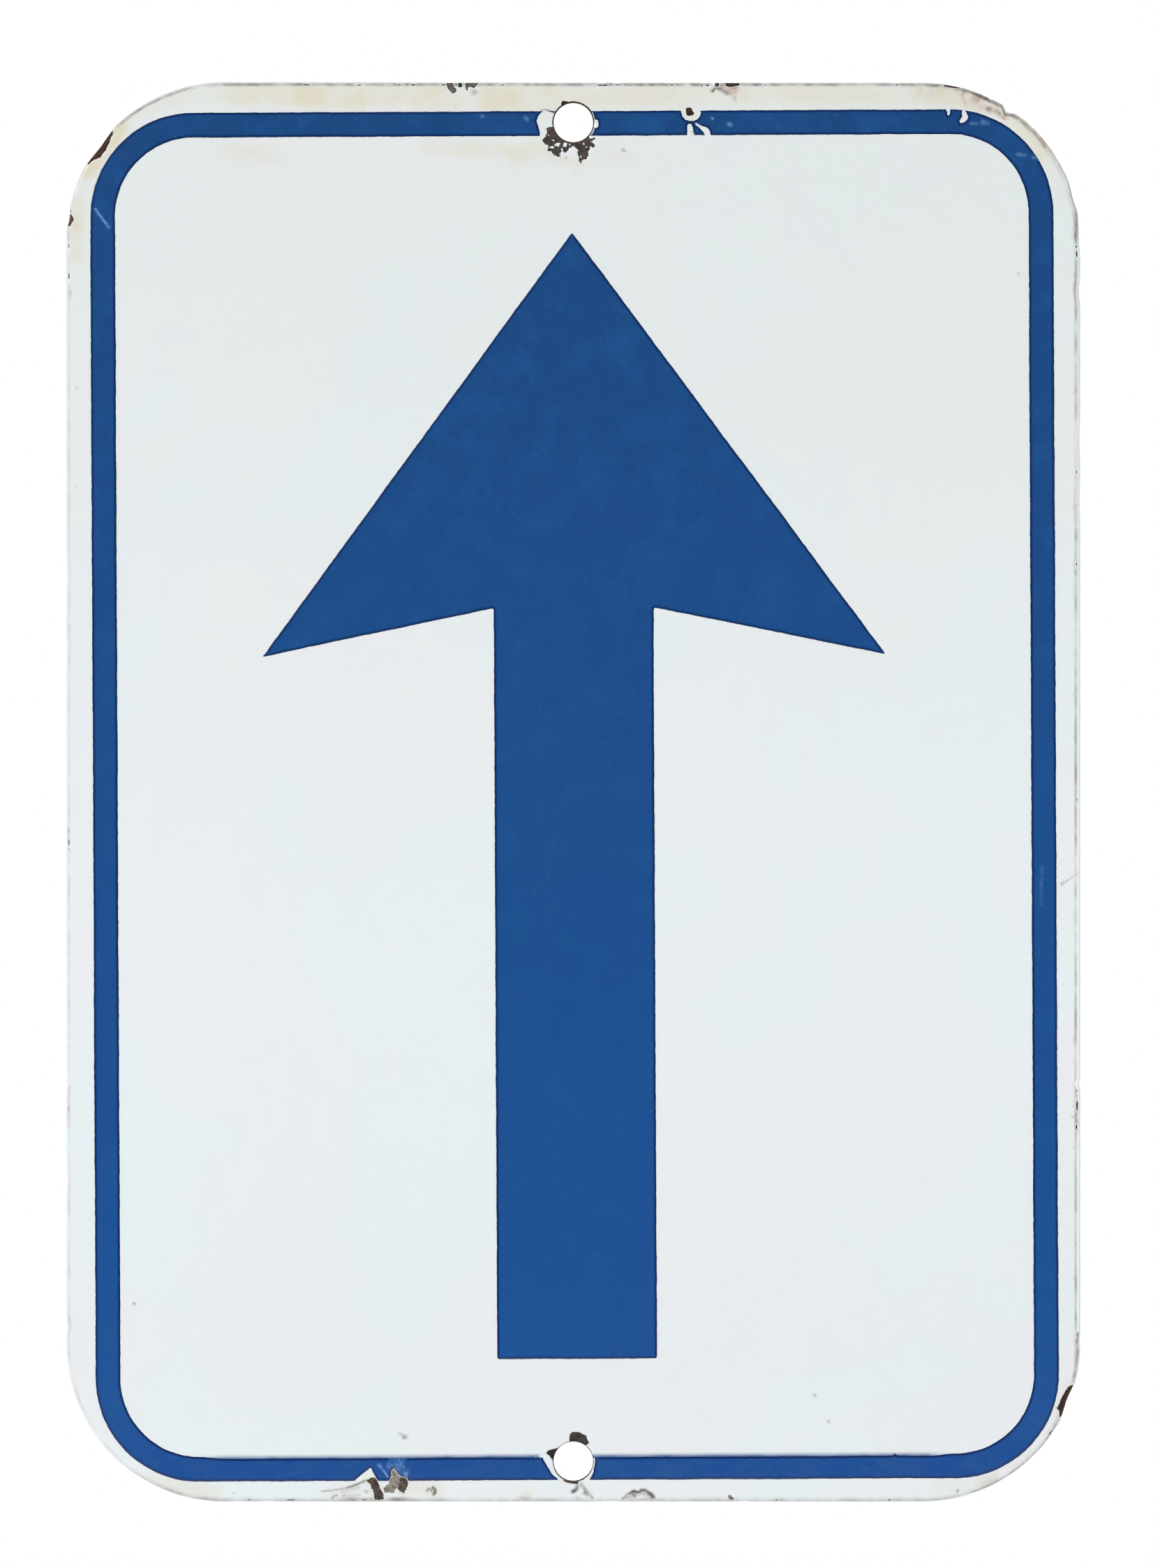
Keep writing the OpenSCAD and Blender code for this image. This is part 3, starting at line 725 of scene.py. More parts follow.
def stroke_rows(strokes):
    """Rows of points along and beside each stroke, to carry its strength."""
    rows = []
    for width, _, line in strokes:
        line = np.array(line, float)
        for a, b in zip(line[:-1], line[1:]):
            length = math.hypot(*(b - a))
            part = np.linspace(0, 1, max(2, math.ceil(length / (0.5 * width))) + 1)[:, None]
            side = np.array([a[1] - b[1], b[0] - a[0]]) / max(length, 1e-6) * width
            along = a + (b - a) * part
            rows += [along + side * k for k in (-0.85, -0.5, -0.2, 0.0, 0.2, 0.5, 0.85)]
            rows.append(np.vstack([circle(end, width * k, 8) for end in (a, b) for k in (0.5, 0.85)]))
    return np.vstack(rows)


def painted(points, strokes):
    """Strength at each point of strokes given by width, strength and line, soft at their sides."""
    value = np.zeros(len(points))
    for width, strength, line in strokes:
        off = distance(points, line, False, width)
        value = np.maximum(value, strength * ease((0.75 * width - off) / (0.6 * width)))
    return value


def coat_top(points):
    """Height of the white coat's face above the steel: thinner at every break and at the holes."""
    slope = ease((nearest(points, snap_loops, 0.34) + 0.05) / 0.34)
    slope = np.minimum(slope, ease((from_hole(points) - COAT_HOLE_R + 0.12) / 0.55))
    return COVER_T * (0.3 + 0.7 * slope)


# Node helpers


def operator(operation, reflected=False):
    """An arithmetic sign of the class below. Reflected, the wire is the second value and not the first."""
    if reflected:
        return lambda wire, first: wire.math(operation, first, wire)
    return lambda wire, second: wire.math(operation, wire, second)


class Wire:
    """One socket of a node tree, with which sums can be written as they are on paper."""

    def __init__(self, tree, out=None):
        self.tree, self.out = tree, out

    def node(self, kind, settings=None, feeds=None, out=0):
        """Adds a node: its settings first, then the values or links of its sockets."""
        made = self.tree.nodes.new(kind)
        for name, value in (settings or {}).items():
            setattr(made, name, value)
        for name, value in (feeds or {}).items():
            if isinstance(value, Wire):
                self.tree.links.new(value.out, made.inputs[name])
            else:
                made.inputs[name].default_value = value
        return Wire(self.tree, made.outputs[out] if len(made.outputs) else None)

    def other(self, name):
        """Another socket of the node that this wire comes from."""
        return Wire(self.tree, self.out.node.outputs[name])

    def math(self, operation, *values, clamp=False):
        settings = {"operation": operation, "use_clamp": clamp}
        return self.node("ShaderNodeMath", settings, dict(enumerate(values)))

    __add__, __radd__ = operator("ADD"), operator("ADD", reflected=True)
    __sub__, __rsub__ = operator("SUBTRACT"), operator("SUBTRACT", reflected=True)
    __mul__, __rmul__ = operator("MULTIPLY"), operator("MULTIPLY", reflected=True)
    __truediv__, __or__ = operator("DIVIDE"), operator("MAXIMUM")

    def clamped(self):
        return self.math("ADD", self, 0.0, clamp=True)

    def band(self, low, high):
        """0 below the low value, 1 above the high one, and soft between them."""
        feeds = {"Value": self, "From Min": low, "From Max": high}
        return self.node("ShaderNodeMapRange", {"interpolation_type": "SMOOTHSTEP"}, feeds)

    def noise(self, place, size, detail=3.0, rough=0.5, warp=0.0):
        """Noise from 0 to 1 with features of this size in millimetres."""
        feeds = {"Vector": place, "Scale": 1 / (size * MM), "Detail": detail, "Roughness": rough,
                 "Distortion": warp}
        return self.node("ShaderNodeTexNoise", {"noise_dimensions": "3D"}, feeds)

    def value(self, name):
        """A number that the mesh carries at each point."""
        return self.node("ShaderNodeAttribute", {"attribute_name": name}, out=2)

    def mix(self, low, high):
        """The low colour where this is 0 and the high colour where it is 1."""
        return self.node("ShaderNodeMix", {"data_type": "RGBA", "clamp_factor": True},
                         {0: self, 6: low, 7: high}, out=2)


def tint(red, green, blue):
    """A colour given as it is seen, from 0 to 255."""
    seen = [c / 255 for c in (red, green, blue)]
    return tuple(c / 12.92 if c <= 0.04045 else ((c + 0.055) / 1.055) ** 2.4 for c in seen) + (1.0,)


def new_finish(name):
    """A material, with a wire to build it on and the coordinates of its object."""
    material = bpy.data.materials.new(name)
    material.use_nodes = True
    material.node_tree.nodes.clear()
    start = Wire(material.node_tree)
    return material, start, start.node("ShaderNodeTexCoord", out=3)


def fired(start, colour, rough, bump, ior=1.5):
    """Ends a material in one glass-like shader."""
    shader = start.node("ShaderNodeBsdfPrincipled", None,
                        {"Base Color": colour, "Roughness": rough, "Normal": bump, "IOR": ior})
    start.node("ShaderNodeOutputMaterial", None, {"Surface": shader})


def height_bump(start, height, depth, strength):
    """A bump with its depth in millimetres."""
    feeds = {"Height": height, "Distance": depth * MM, "Strength": strength}
    return start.node("ShaderNodeBump", None, feeds)


def up_the_sign(start, place):
    """0 at the bottom edge of the sign and 1 at the top."""
    z = start.node("ShaderNodeSeparateXYZ", None, {0: place}, out=2)
    return (z / (SIGN_H * MM) + 0.5).clamped()


# Finishes

# Depth and strength of the orange peel in the fired glass
PEEL = 0.06, 0.5


def white_glaze():
    """Fired white: clouded glass, cream where rust has crept, brown at the edges, grey in its cracks."""
    material, start, place = new_finish("fired_white")
    cloud = start.noise(place, 60.0, 2.0)
    patch = start.noise(place, 14.0, 3.0, 0.6)
    fleck = start.noise(place, 1.6, 3.0, 0.7)
    colour = cloud.band(0.35, 0.65).mix(tint(234, 237, 239), tint(230, 239, 241))
    colour = (patch.band(0.42, 0.72) * 0.30).mix(colour, tint(236, 235, 240))
    # The white is darker towards the top of the sign
    colour = (up_the_sign(start, place).band(0.3, 1.0) * 0.65).mix(colour, tint(218, 223, 222))
    cream = (start.value("stain") * (0.4 + patch.band(0.3, 0.62) * 0.6) * (0.5 + fleck * 0.5)).clamped()
    colour = cream.mix(colour, tint(216, 204, 170))
    blot = start.noise(place, 2.4, 2.0, 0.55)
    uneven = 0.45 + blot.band(0.34, 0.62) * 0.55
    brown = (start.value("rust") * uneven).clamped()
    colour = (brown * 0.85).mix(colour, blot.band(0.4, 0.6).mix(tint(190, 140, 106), tint(128, 82, 56)))
    grey = (start.value("grime") * uneven).clamped()
    colour = grey.mix(colour, tint(86, 79, 70))
    colour = start.value("ghost").mix(colour, tint(60, 98, 152))
    # The dark line along the roll: dirt, and painted shade at the right and the bottom where the roll turns
    # from the light
    line = (start.value("edge") * (0.55 + uneven * 0.45)).clamped()
    colour = line.mix(colour, tint(98, 93, 88))
    snapped = start.value("snapped")
    colour = (snapped * 0.7).mix(colour, tint(226, 230, 231))
    rough = 0.13 + cloud * 0.05 + snapped * 0.4 + cream * 0.15 + grey * 0.3 + brown * 0.3 + line * 0.5
    rough = rough.clamped()
    peel = start.noise(place, 3.2, 2.0) + fleck * 0.15
    fired(start, colour, rough, height_bump(start, peel, *PEEL))
    return material


def blue_glaze():
    """Fired blue: lighter and clearer towards the bottom, darker along its edges, pale where it is grazed."""
    material, start, place = new_finish("fired_blue")
    patch = start.noise(place, 9.0, 3.0, 0.65)
    fleck = start.noise(place, 1.1, 3.0, 0.7)
    height = up_the_sign(start, place)
    colour = height.mix(tint(26, 82, 152), tint(25, 69, 122))
    colour = (1 - height).band(0.93, 0.98).mix(colour, tint(10, 74, 148))
    colour = (patch.band(0.42, 0.75) * 0.55).mix(colour, tint(30, 84, 146))
    colour = (fleck.band(0.55, 0.8) * 0.22).mix(colour, tint(66, 112, 170))
    colour = (start.value("rim") * (0.75 + fleck * 0.25)).mix(colour, tint(2, 30, 78))
    graze = (start.value("graze") * (0.35 + start.noise(place, 2.0, 2.0).band(0.35, 0.6) * 0.65)).clamped()
    colour = graze.mix(colour, tint(126, 172, 224))
    rough = (0.12 + patch * 0.06 + graze * 0.4).clamped()
    peel = start.noise(place, 3.2, 2.0) + fleck * 0.2
    fired(start, colour, rough, height_bump(start, peel, *PEEL))
    return material


def ground_glaze():
    """Dark ground coat on steel: black-grey glass, brown with rust where bare, powdery where crushed."""
    material, start, place = new_finish("dark_ground_coat")
    cloud = start.noise(place, 18.0, 4.0, 0.6)
    grain = start.noise(place, 0.5, 4.0, 0.7)
    fine = start.noise(place, 1.8, 4.0, 0.65, 0.6)
    colour = cloud.band(0.3, 0.7).mix(tint(24, 23, 23), tint(38, 37, 36))
    colour = (grain.band(0.45, 0.75) * 0.4).mix(colour, tint(76, 74, 72))
    rust = (start.value("rust") * fine.band(0.3, 0.62)).clamped()
    colour = rust.mix(colour, grain.band(0.3, 0.7).mix(tint(40, 20, 11), tint(96, 56, 34)))
    powder = (start.value("powder") * fine.band(0.25, 0.6)).clamped()
    colour = powder.mix(colour, grain.band(0.3, 0.7).mix(tint(128, 120, 112), tint(170, 162, 152)))
    rough = (0.38 + cloud * 0.15 + rust * 0.4 + powder * 0.35).clamped()
    lumps = grain * 0.6 + fine * (0.4 + start.value("rust"))
    fired(start, colour, rough, height_bump(start, lumps, 0.09, 0.8), ior=1.3)
    return material


def rust_grain():
    """Loose scale and corrosion grains."""
    material, start, place = new_finish("rust_scale")
    grain = start.noise(place, 0.9, 3.0, 0.7)
    colour = grain.band(0.3, 0.7).mix(tint(24, 19, 17), tint(66, 50, 40))
    fired(start, colour, (0.65 + grain * 0.25).clamped(), height_bump(start, grain, 0.03, 0.6))
    return material


# The pieces

# Distances from the core of the rings of points across the roll
RINGS = [FLAT - 0.65, FLAT - 0.32, FLAT, FLAT + 0.17, FLAT + 0.35, FLAT + 0.6, FLAT + 0.9, FLAT + 1.25,
         FLAT + ARC, FLAT + ARC + 0.3]

# Faces that meet at more than this many degrees show an edge
SHEET_SHARP, COAT_SHARP = 50, 38

# Round a loop of fewer points than this, rows beside it may fold over at its turns and are thinned there
SHORT_LOOP = 400


def sheet_front():
    """Face and rolled edge, pitted where both coats are gone, with their rust, powder and pitting."""
    mouths = [circle(centre, MOUTH_R) for centre in HOLE_CENTRES]
    pits = []
    for number, (loop, _, _) in enumerate(bare_loops):
        cloud = scattered(loop.min(0) - 0.2, loop.max(0) + 0.2, 0.24, 500 + number)
        pits.append(cloud[inside(cloud, loop) | (distance(cloud, loop, True, 0.3) < 0.25)])
    pits = np.vstack([*pits, *(loop for loop, _ in nick_loops)])
    pits = pits[from_core(pits)[0] < LIMIT - 0.1]
    loose = np.vstack([*(edge_ring(rho) for rho in RINGS), pits, over_face(5.0, 21, 0, FLAT - 2.5),
                       hole_rings(MOUTH_R, (0.25, 0.7, 1.5, 3.0))])
    loose = loose[from_hole(loose) > MOUTH_R + 0.1]
    points, triangles, middle, _ = triangulate([edge_ring(LIMIT), *mouths], loose)
    triangles = triangles[~within_any(middle, mouths) & (from_core(middle)[0] < LIMIT - SEAM)]

    bare = within_any(points, break_loops)
    rust, powder = np.zeros(len(points)), np.zeros(len(points))
    for loop, rusty, powdery in bare_loops:
        here = inside(points, loop)
        rust[here], powder[here] = rusty, powdery
    for loop, rusty in nick_loops:
        rust[inside(points, loop) | (distance(points, loop, True, 0.1) < 0.02)] = rusty
    off_hole = from_hole(points)
    rust[(off_hole < HOLE_R + 0.6) & ~bare] = 0.35
    rho = from_core(points)[0]
    lift = 0.028 * mottle(points, 0.5, 31) + 0.02 * mottle(points, 1.6, 32) - 0.03
    face = wrap(points, np.where(bare & (rho < FLAT + ARC) & (off_hole - MOUTH_R > 0.02), lift, 0))
    return face, triangles, rust, powder, bare & (rho < FLAT + 0.9)


def sheet_back():
    """The back, a flat triangulation of its own between the same rims, rusty at the holes and the rim."""
    outer = edge_ring(LIMIT)
    rim = wrap(outer, np.zeros(len(outer)))[:, [0, 2]]
    mouths = [circle(centre, HOLE_R + 0.05) for centre in HOLE_CENTRES]
    field = over_face(3.0, 22, 0, FLAT - 0.8)
    field = field[from_hole(field) > HOLE_R + 7.5]
    collars = hole_rings(HOLE_R, (0.35, 0.9, 1.8, 3.0, 4.6, 6.5))
    collars = collars[from_core(collars)[0] < FLAT - 0.8]
    near_rim = [edge_ring(rho)[::2] for rho in (FLAT - 0.2, FLAT + 0.35)]
    points, triangles, middle, _ = triangulate([rim, *mouths], np.vstack([field, collars, *near_rim]))
    triangles = triangles[inside(middle, rim) & ~within_any(middle, mouths)]

    rho = from_core(points)[0]
    at_hole, at_rim = ease(1 - (from_hole(points) - HOLE_R) / 5.5), ease((rho - FLAT + 1.6) / 2.2)
    blotches = ease((rho - FLAT + 9.0) / 8.0) * ease((mottle(points, 9.0, 41) - 0.35) * 2)
    rust = np.max([0.9 * at_hole, 0.75 * at_rim, 0.6 * blotches], axis=0)
    return np.insert(points, 1, 0.0, axis=1), triangles[:, ::-1], rust, 0.0, 0.0


def hole_wall(centre):
    """The rusty wall of one hole, from its eased mouth in front to the back."""
    levels = [(MOUTH_R, -SHEET_T), (HOLE_R + 0.08, -SHEET_T + 0.025), (HOLE_R + 0.02, -SHEET_T + 0.08),
              (HOLE_R, -SHEET_T + 0.17), (HOLE_R, -SHEET_T / 2), (HOLE_R, -0.06), (HOLE_R + 0.05, 0.0)]
    rings = [np.insert(circle(centre, radius), 1, y, axis=1) for radius, y in levels]
    here = np.arange(HOLE_STEPS)
    following = np.roll(here, -1)
    band = np.column_stack([here, following, following + HOLE_STEPS, here + HOLE_STEPS])
    bands = [band + HOLE_STEPS * level for level in range(len(levels) - 1)]
    return np.vstack(rings), np.vstack(bands), 0.7, 0.0, 0.0


def steel_plate():
    """The punched sheet: face, rolled edge, back and the walls of its holes, as one closed skin."""
    skins, faces, values = [], [], {"rust": [], "powder": [], "pitted": []}
    for skin, its_faces, *numbers in [sheet_front(), sheet_back(), *map(hole_wall, HOLE_CENTRES)]:
        faces += (its_faces + sum(map(len, skins))).tolist()
        skins.append(skin)
        for value, number in zip(values.values(), numbers):
            value.append(np.broadcast_to(number, len(skin)))
    values = {name: np.concatenate(value) for name, value in values.items()}
    piece = make_piece("steel_plate", np.vstack(skins), faces, ground_finish, values, SHEET_SHARP)
    weld(piece)
    return piece


def weld(piece):
    """Joins points that lie on each other, so that the sheet is one closed skin."""
    shape = bmesh.new()
    shape.from_mesh(piece.data)
    bmesh.ops.remove_doubles(shape, verts=shape.verts, dist=SEAM * MM)
    shape.to_mesh(piece.data)
    shape.free()
    piece.data.set_sharp_from_angle(angle=math.radians(SHEET_SHARP))


def edge_dirt_and_shade(points):
    """The dark line that runs along the roll, dirt and, at the right and the bottom, painted shade: dark at
    the top, broad at the right and the bottom.
    """
    rho, way = from_core(points)
    right, up = way.T
    sides = np.maximum(np.column_stack([up, right, -up, -right]), 0) ** 2
    centre, inward, outward, strength = (sides @ np.array(EDGE_DIRT_AND_SHADE)).T
    rim = points + way * (CORNER_R - rho)[:, None]
    uneven = np.clip(0.85 + 0.55 * mottle(rim, 4.0, 61) + 0.45 * mottle(rim, 1.3, 62), 0.35, 1.5)
    for x, z, reach, much in DIRT_AND_SHADE_PLACES:
        uneven *= 1 + (much - 1) * ease(1.6 - 1.6 * np.hypot(rim[:, 0] - x, rim[:, 1] - z) / reach)
    past = rho - FLAT - centre
    off = np.where(past < 0, -past / np.maximum(inward, 0.01), past / np.maximum(outward, 0.01))
    return np.clip(strength * uneven * ease(1.3 - off), 0, 1)


def ghost_run(x):
    """How well the bottom line's second edge can be made out at each place along it."""
    return ease((GHOST_REACH - np.abs(x)) / 8.0)


def ghost_edge(points):
    """The faint second edge where the print was laid down twice, just above the bottom line."""
    x, z = (points - (REGISTER_X, REGISTER_Y)).T
    above = z - REGISTER_TURN * x + LINE_EDGE
    middle = 0.86 + 0.14 * ease((55.0 - np.abs(x - 8.0)) / 30.0)
    along = middle * ghost_run(x) * (0.95 + 0.12 * mottle(points, 2.6, 81))
    lost = within_any(points, lost_loops) | (nearest(points, lost_loops, 0.5) < 0.5)
    faint = np.clip(along * 1.2 * (GHOST_RISE - above) / (GHOST_DROP + GHOST_RISE), 0, 1)
    return np.where((above > -GHOST_DROP - 0.3) & ~lost, faint, 0.0)


def cover_coat():
    """The white coat: even over face and roll, snapped at every flake, open round the holes."""
    rings = np.vstack([edge_ring(rho) for rho in RINGS])
    rings = rings[nearest(rings, break_loops, 0.2) > 0.1]
    margin = FLAT - 14.0
    fine = stroke_rows([stroke for _, stroke in laid_marks if stroke[0] < FINE_W])
    run = np.arange(1 - GHOST_REACH, GHOST_REACH - 1, 0.8)
    ghost = [in_register(np.column_stack([run, np.full(len(run), k - LINE_EDGE)]))
             for k in (-0.6, -0.3, 0.0, 0.35, 0.7)]
    grid = np.vstack([over_face(2.7, 23, 0, margin), over_face(1.35, 24, margin, FLAT - 0.9), fine, *ghost])
    grid = grid[nearest(grid, break_loops, 0.5) > 0.4]
    loose = np.vstack([rings, around(snap_loops, (0.1, 0.22, 0.36)),
                       hole_rings(COAT_HOLE_R, (0.18, 0.3, 0.48, 0.85)), grid])
    loose = loose[from_core(loose)[0] < LIMIT - 0.08]
    points, triangles, middle, _ = triangulate([edge_ring(LIMIT), *coat_mouths, *snap_loops], loose)
    keep = ~within_any(middle, break_loops) | within_any(middle, held_loops)
    keep &= ~within_any(middle, coat_mouths) & (from_core(middle)[0] < LIMIT - SEAM)
    under = -0.05 * (1 - ease(from_core(points)[0] - FLAT + 0.5))
    skin, faces, used = closed_coat(points, triangles[keep], coat_top(points), under)

    seen = points[used]
    # The edge value is the dark line along the roll: dirt, and painted shade at the right and the bottom
    values = {"snapped": ease(1.15 - nearest(seen, snap_loops, 0.4) / 0.3), "edge": edge_dirt_and_shade(seen)}
    for kind in ("stain", "rust", "grime"):
        values[kind] = painted(seen, [stroke for its_kind, stroke in laid_marks if its_kind == kind])
    values["ghost"] = ghost_edge(seen)
    creep = nearest(seen, [loop for loop, rusty, _ in bare_loops if rusty > 0.3], 1.6)
    values["stain"] = np.maximum(values["stain"], 0.6 * ease(1 - creep / 1.6))
    both = {name: np.concatenate([value, 0 * value]) for name, value in values.items()}
    return make_piece("cover_coat", skin, faces, white_finish, both, COAT_SHARP)


def stencilled(loop, seed):
    """The slightly furred edge that a print has."""
    fine = np.random.default_rng(seed).uniform(-1, 1, len(loop))
    out = 0.035 * fine + 0.045 * mottle(loop, 1.3, seed) + 0.05 * mottle(loop, 9.0, seed + 1)
    return loop + normals(loop) * out[:, None]


def fired_print(name, edges, holes, loose):
    """A closed print on the white coat, with rounded edges. The first edge is its outside."""
    loops = [*edges, *holes]
    rows, gaps = [], []
    for loop in loops:
        for gap in (0.12, 0.42, 0.75):
            row = loop + (-gap if loop is edges[0] else gap) * normals(loop)
            if len(loop) < SHORT_LOOP:
                row = row[distance(row, loop, True, gap) > 0.75 * gap]
            rows.append(row)
            gaps.append(np.full(len(row), gap))
    free, off = np.vstack([*rows, loose]), np.concatenate([*gaps, np.ones(len(loose))])
    clear = nearest(free, holes, 0.12) > 0.07
    off = np.concatenate([np.zeros(sum(map(len, loops))), off[clear]])
    points, triangles, middle, source = triangulate(loops, free[clear])
    triangles = triangles[inside(middle, edges[0]) & ~within_any(middle, loops[1:])]

    off = np.minimum(np.where(source >= 0, off[source], 0.0), nearest(points, holes, 1.0))
    base = coat_top(points)
    top = base + PRINT_T * (0.4 + 0.6 * ease(off / 0.12))
    skin, faces, used = closed_coat(points, triangles, top, base - 0.03)
    values = {"rim": ease((0.78 - off[used]) / 0.5), "graze": painted(points[used], grazes)}
    both = {key: np.concatenate([value, value]) for key, value in values.items()}
    return make_piece(name, skin, faces, blue_finish, both, COAT_SHARP)


def border_line():
    """The blue line round the sign, broken at the holes and at every flake."""
    within = stencilled(print_loop(BORDER_W, 0.4), 71)
    nub = ease(1 - np.hypot(within[:, 0] - NUB_X, within[:, 1] - NUB_Z) / NUB_R)
    at_bottom = ease((0.4 - LINE_EDGE - within[:, 1]) / 0.2)
    within[:, 1] += NUB_RISE * nub - GHOST_DROP * at_bottom * ghost_run(within[:, 0])
    edges = [in_register(stencilled(print_loop(0, 0.4), 70)), in_register(within)]
    cuts = [circle(centre, COAT_HOLE_R + 0.05) for centre in HOLE_CENTRES]
    cuts += [loop for loop, _, _ in bare_breaks(grow=0.16) if from_core(loop)[0].min() < FLAT - 4.0]
    cuts += lost_loops
    rows = [in_register(print_loop(inset, 1.3)) for inset in (1.2, 2.4, 3.8, 5.0)]
    fine = stroke_rows(grazes)
    fine = fine[inside(fine, edges[0]) & ~inside(fine, edges[1])]
    return fired_print("border_line", edges, cuts, np.vstack([*rows, fine]))


def straight_arrow():
    """The straight-ahead arrow, with corners softened as a stencil leaves them."""
    tip, shoulder, soft, step = ARROW_H / 2, ARROW_H / 2 - HEAD_H, 0.7, 0.4
    left = np.array([(-ARROW_W / 2, shoulder), (-SHAFT_W / 2, shoulder + HEAD_SWEEP), (-SHAFT_W / 2, -tip)])
    corners = np.array([(0, tip), *left, *(left[::-1] * (-1, 1))])
    loop = []
    for corner, before, after in zip(corners, np.roll(corners, 1, axis=0), np.roll(corners, -1, axis=0)):
        back, on = before - corner, after - corner
        back, on = soft * back / math.hypot(*back), soft * on / math.hypot(*on)
        start, end, following = corner + back, corner + on, after - on
        loop += [(1 - t) ** 2 * start + 2 * t * (1 - t) * corner + t * t * end for t in np.linspace(0, 1, 6)]
        count = max(2, round(math.hypot(*(following - end)) / step))
        loop += [end + (following - end) * k / count for k in range(1, count)]
    edge = in_register(stencilled(anticlockwise(loop), 73))
    field = scattered(edge.min(0), edge.max(0), 2.6, 25)
    field = field[inside(field, edge)]
    return fired_print("straight_arrow", [edge], [], field[distance(field, edge, True, 1.2) > 1.0])


# What is strewn over the surfaces


def strewn_tree():
    """Geometry nodes that strew small flattened lumps over a surface where a value is high."""
    tree = bpy.data.node_groups.new("strewn_lumps", "GeometryNodeTree")
    for name, kind in [("Geometry", "Geometry"), ("Mask", "String"), ("Per Square Metre", "Float"),
                       ("Radius", "Float"), ("Flatness", "Float"), ("Seed", "Int"), ("Finish", "Material")]:
        tree.interface.new_socket(name, in_out="INPUT", socket_type="NodeSocket" + kind)
    tree.interface.new_socket("Geometry", in_out="OUTPUT", socket_type="NodeSocketGeometry")
    given = Wire(tree).node("NodeGroupInput", out="Geometry")
    seed = given.other("Seed")
    mask = given.node("GeometryNodeInputNamedAttribute", {"data_type": "FLOAT"},
                      {"Name": given.other("Mask")}, out="Attribute")
    high = given.node("FunctionNodeCompare", {"data_type": "FLOAT", "operation": "GREATER_THAN"},
                      {"A": mask, "B": 0.5}, out="Result")
    points = given.node("GeometryNodeDistributePointsOnFaces", None,
                        {"Mesh": given, "Selection": high, "Density": given.other("Per Square Metre"),
                         "Seed": seed}, out="Points")
    lump = given.node("GeometryNodeMeshIcoSphere", None,
                      {"Subdivisions": 1, "Radius": given.other("Radius")}, out="Mesh")
    size = given.node("FunctionNodeRandomValue", {"data_type": "FLOAT"},
                      {2: 0.35, 3: 1.0, "Seed": seed}, out=1)
    scale = given.node("ShaderNodeCombineXYZ", None, {0: size, 1: size, 2: size * given.other("Flatness")})
    strewn = given.node("GeometryNodeInstanceOnPoints", None,
                        {"Points": points, "Instance": lump, "Rotation": points.other("Rotation"),
                         "Scale": scale}, out="Instances")
    real = given.node("GeometryNodeRealizeInstances", None, {"Geometry": strewn})
    ended = given.node("GeometryNodeSetMaterial", None, {"Geometry": real, "Material": given.other("Finish")})
    given.node("NodeGroupOutput", None, {"Geometry": ended})
    return tree


def strew(name, over, mask, per_square_mm, radius, flatness, seed, finish):
    """Lumps over a piece, as a plain mesh of their own."""
    maker = show(name + "_maker", over.data)
    modifier = maker.modifiers.new("strewn", "NODES")
    modifier.node_group = strewn_tree()
    given = {"Mask": mask, "Per Square Metre": per_square_mm / MM**2, "Radius": radius * MM,
             "Flatness": flatness, "Seed": seed, "Finish": finish}
    for item in modifier.node_group.interface.items_tree:
        if item.in_out == "INPUT" and item.name in given:
            modifier[item.identifier] = given[item.name]
    bpy.context.view_layer.update()
    evaluated = maker.evaluated_get(bpy.context.evaluated_depsgraph_get())
    mesh = bpy.data.meshes.new_from_object(evaluated)
    maker.modifiers.clear()
    bpy.data.objects.remove(maker)
    mesh.name = name
    return show(name, mesh)


# Make and place everything

white_finish, blue_finish, ground_finish = white_glaze(), blue_glaze(), ground_glaze()
sheet = steel_plate()
coat = cover_coat()
line = border_line()
arrow = straight_arrow()
scale = strew("rust_scale", sheet, "pitted", 3.0, 0.16, 0.5, 7, rust_grain())

for piece, slot, node in [(sheet, "ground_coat", "steel_sheet"), (coat, "white_coat", "white_enamel"),
                          (line, "blue_print", "blue_border"), (arrow, "blue_print", "blue_arrow"),
                          (scale, "ground_coat", None)]:
    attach(piece, "root")
    if node:
        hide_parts(node)

# Floor, light and camera

WHITE = (1.0, 1.0, 1.0, 1.0)
ROOM_LIGHT = 0.40
FLOOR_DROP = 0.12


def light_path(start):
    """1 for rays from the camera, and 1 for rays off mirror-like surfaces or through clear ones."""
    camera_ray = start.node("ShaderNodeLightPath", out="Is Camera Ray")
    return camera_ray, camera_ray.other("Is Glossy Ray") | camera_ray.other("Is Transmission Ray")


def pale_floor():
    """A round floor below the sign, white to the camera and grey to everything else."""
    material, start, place = new_finish("studio_floor")
    lit = start.node("ShaderNodeBsdfDiffuse", None, {"Color": (0.9, 0.9, 0.9, 1.0)})
    glow = start.node("ShaderNodeEmission", None, {"Color": WHITE, "Strength": 1.0})
    far = start.node("ShaderNodeVectorMath", {"operation": "LENGTH"}, {0: place}, out=1).band(0.4, 0.95)
    camera_ray, mirrored = light_path(start)
    white = (camera_ray | mirrored) * (0.6 + far * 0.4)
    mixed = start.node("ShaderNodeMixShader", None, {0: white, 1: lit, 2: glow})
    start.node("ShaderNodeOutputMaterial", None, {"Surface": mixed})
    mesh = bpy.data.meshes.new("floor")
    rim = circle((0, 0), 1.0, 64)
    mesh.from_pydata(np.insert(rim, 2, -SIGN_H / 2 * MM - FLOOR_DROP, axis=1).tolist(), [], [range(len(rim))])
    mesh.materials.append(material)
    floor = show("floor", mesh)


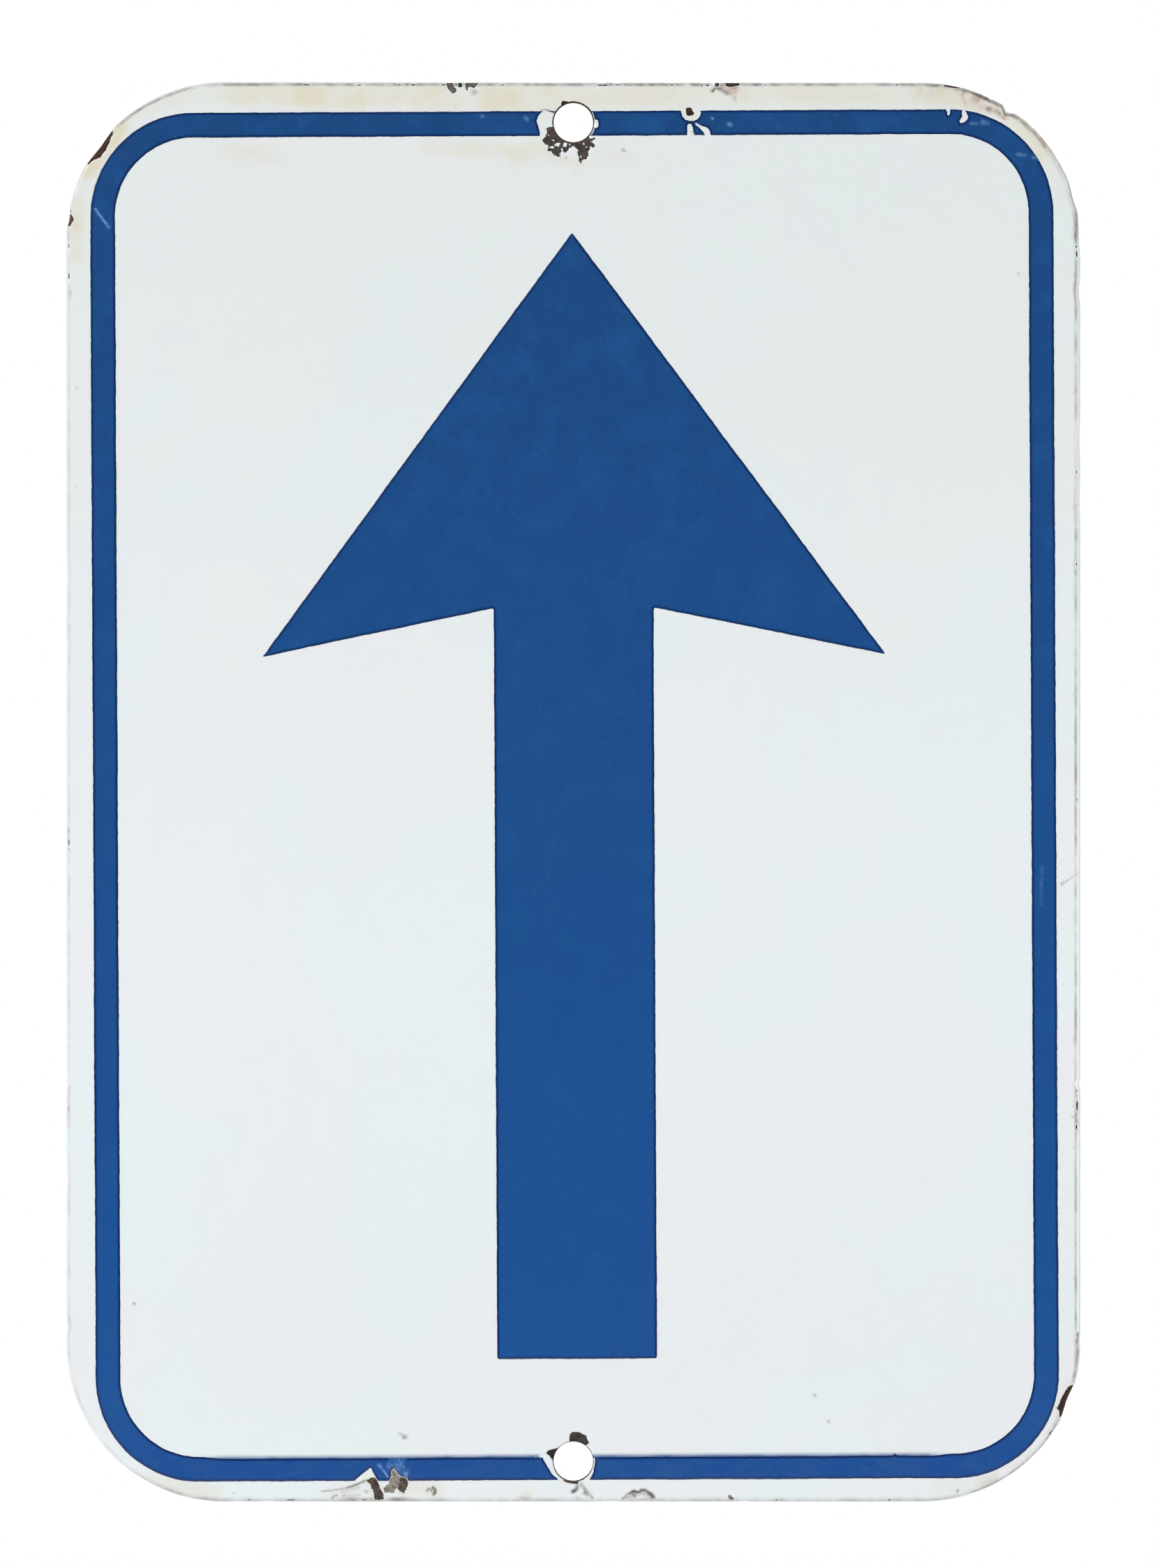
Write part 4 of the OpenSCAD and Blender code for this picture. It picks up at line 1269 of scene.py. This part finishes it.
def white_room():
    """White to the camera all round, a plain soft light to everything else, dimmer in front of the face."""
    world = bpy.data.worlds.new("room")
    bpy.context.scene.world = world
    world.use_nodes = True
    world.node_tree.nodes.clear()
    start = Wire(world.node_tree)
    camera_ray, mirrored = light_path(start)
    way = start.node("ShaderNodeTexCoord", out=0)
    behind = start.node("ShaderNodeSeparateXYZ", None, {0: way}, out=1)
    white = (camera_ray | (mirrored * behind.band(-0.05, 0.25))).clamped()
    dark_wall = (0.0 - behind).band(0.7, 0.93)
    soft = start.node("ShaderNodeBackground", None,
                      {"Color": WHITE, "Strength": ROOM_LIGHT * (1 - dark_wall * 0.8)})
    bright = start.node("ShaderNodeBackground", None, {"Color": WHITE, "Strength": 1.0})
    mixed = start.node("ShaderNodeMixShader", None, {0: white, 1: soft, 2: bright})
    start.node("ShaderNodeOutputWorld", None, {"Surface": mixed})


def soft_lamp(name, place, size, power):
    """A square soft lamp that looks at the middle of the sign."""
    data = bpy.data.lights.new(name, "AREA")
    data.size, data.energy = size, power
    lamp = show(name, data)
    lamp.location = place
    lamp.rotation_mode = "QUATERNION"
    lamp.rotation_quaternion = (-Vector(place)).to_track_quat("-Z", "Y")


pale_floor()
white_room()
soft_lamp("lamp_left", (-1.5, -1.6, 1.1), 1.2, 41.0)
soft_lamp("lamp_right", (1.95, -1.35, -0.5), 1.2, 29.5)
soft_lamp("lamp_behind", (0.6, 1.9, 1.0), 1.4, 26.0)

# The camera stands square to the sign, opposite the middle of the photo
PHOTO_H, PX_PER_MM = 2247, 5.725
PHOTO_MIDDLE_X, PHOTO_MIDDLE_Z = 0.79, 1.97
CAMERA_AWAY = 1.5
SENSOR_W, SENSOR_H = 36.0, 24.0
camera = show("camera", bpy.data.cameras.new("camera"))
camera.data.sensor_fit = "VERTICAL"
camera.data.sensor_height, camera.data.sensor_width = SENSOR_H, SENSOR_W
camera.data.lens = SENSOR_H * CAMERA_AWAY / (PHOTO_H / PX_PER_MM * MM)
camera.location = (PHOTO_MIDDLE_X * MM, -CAMERA_AWAY - SHEET_T * MM, PHOTO_MIDDLE_Z * MM)
camera.rotation_euler = (math.pi / 2, 0, 0)
bpy.context.scene.camera = camera
bpy.context.scene.view_settings.view_transform = "Standard"
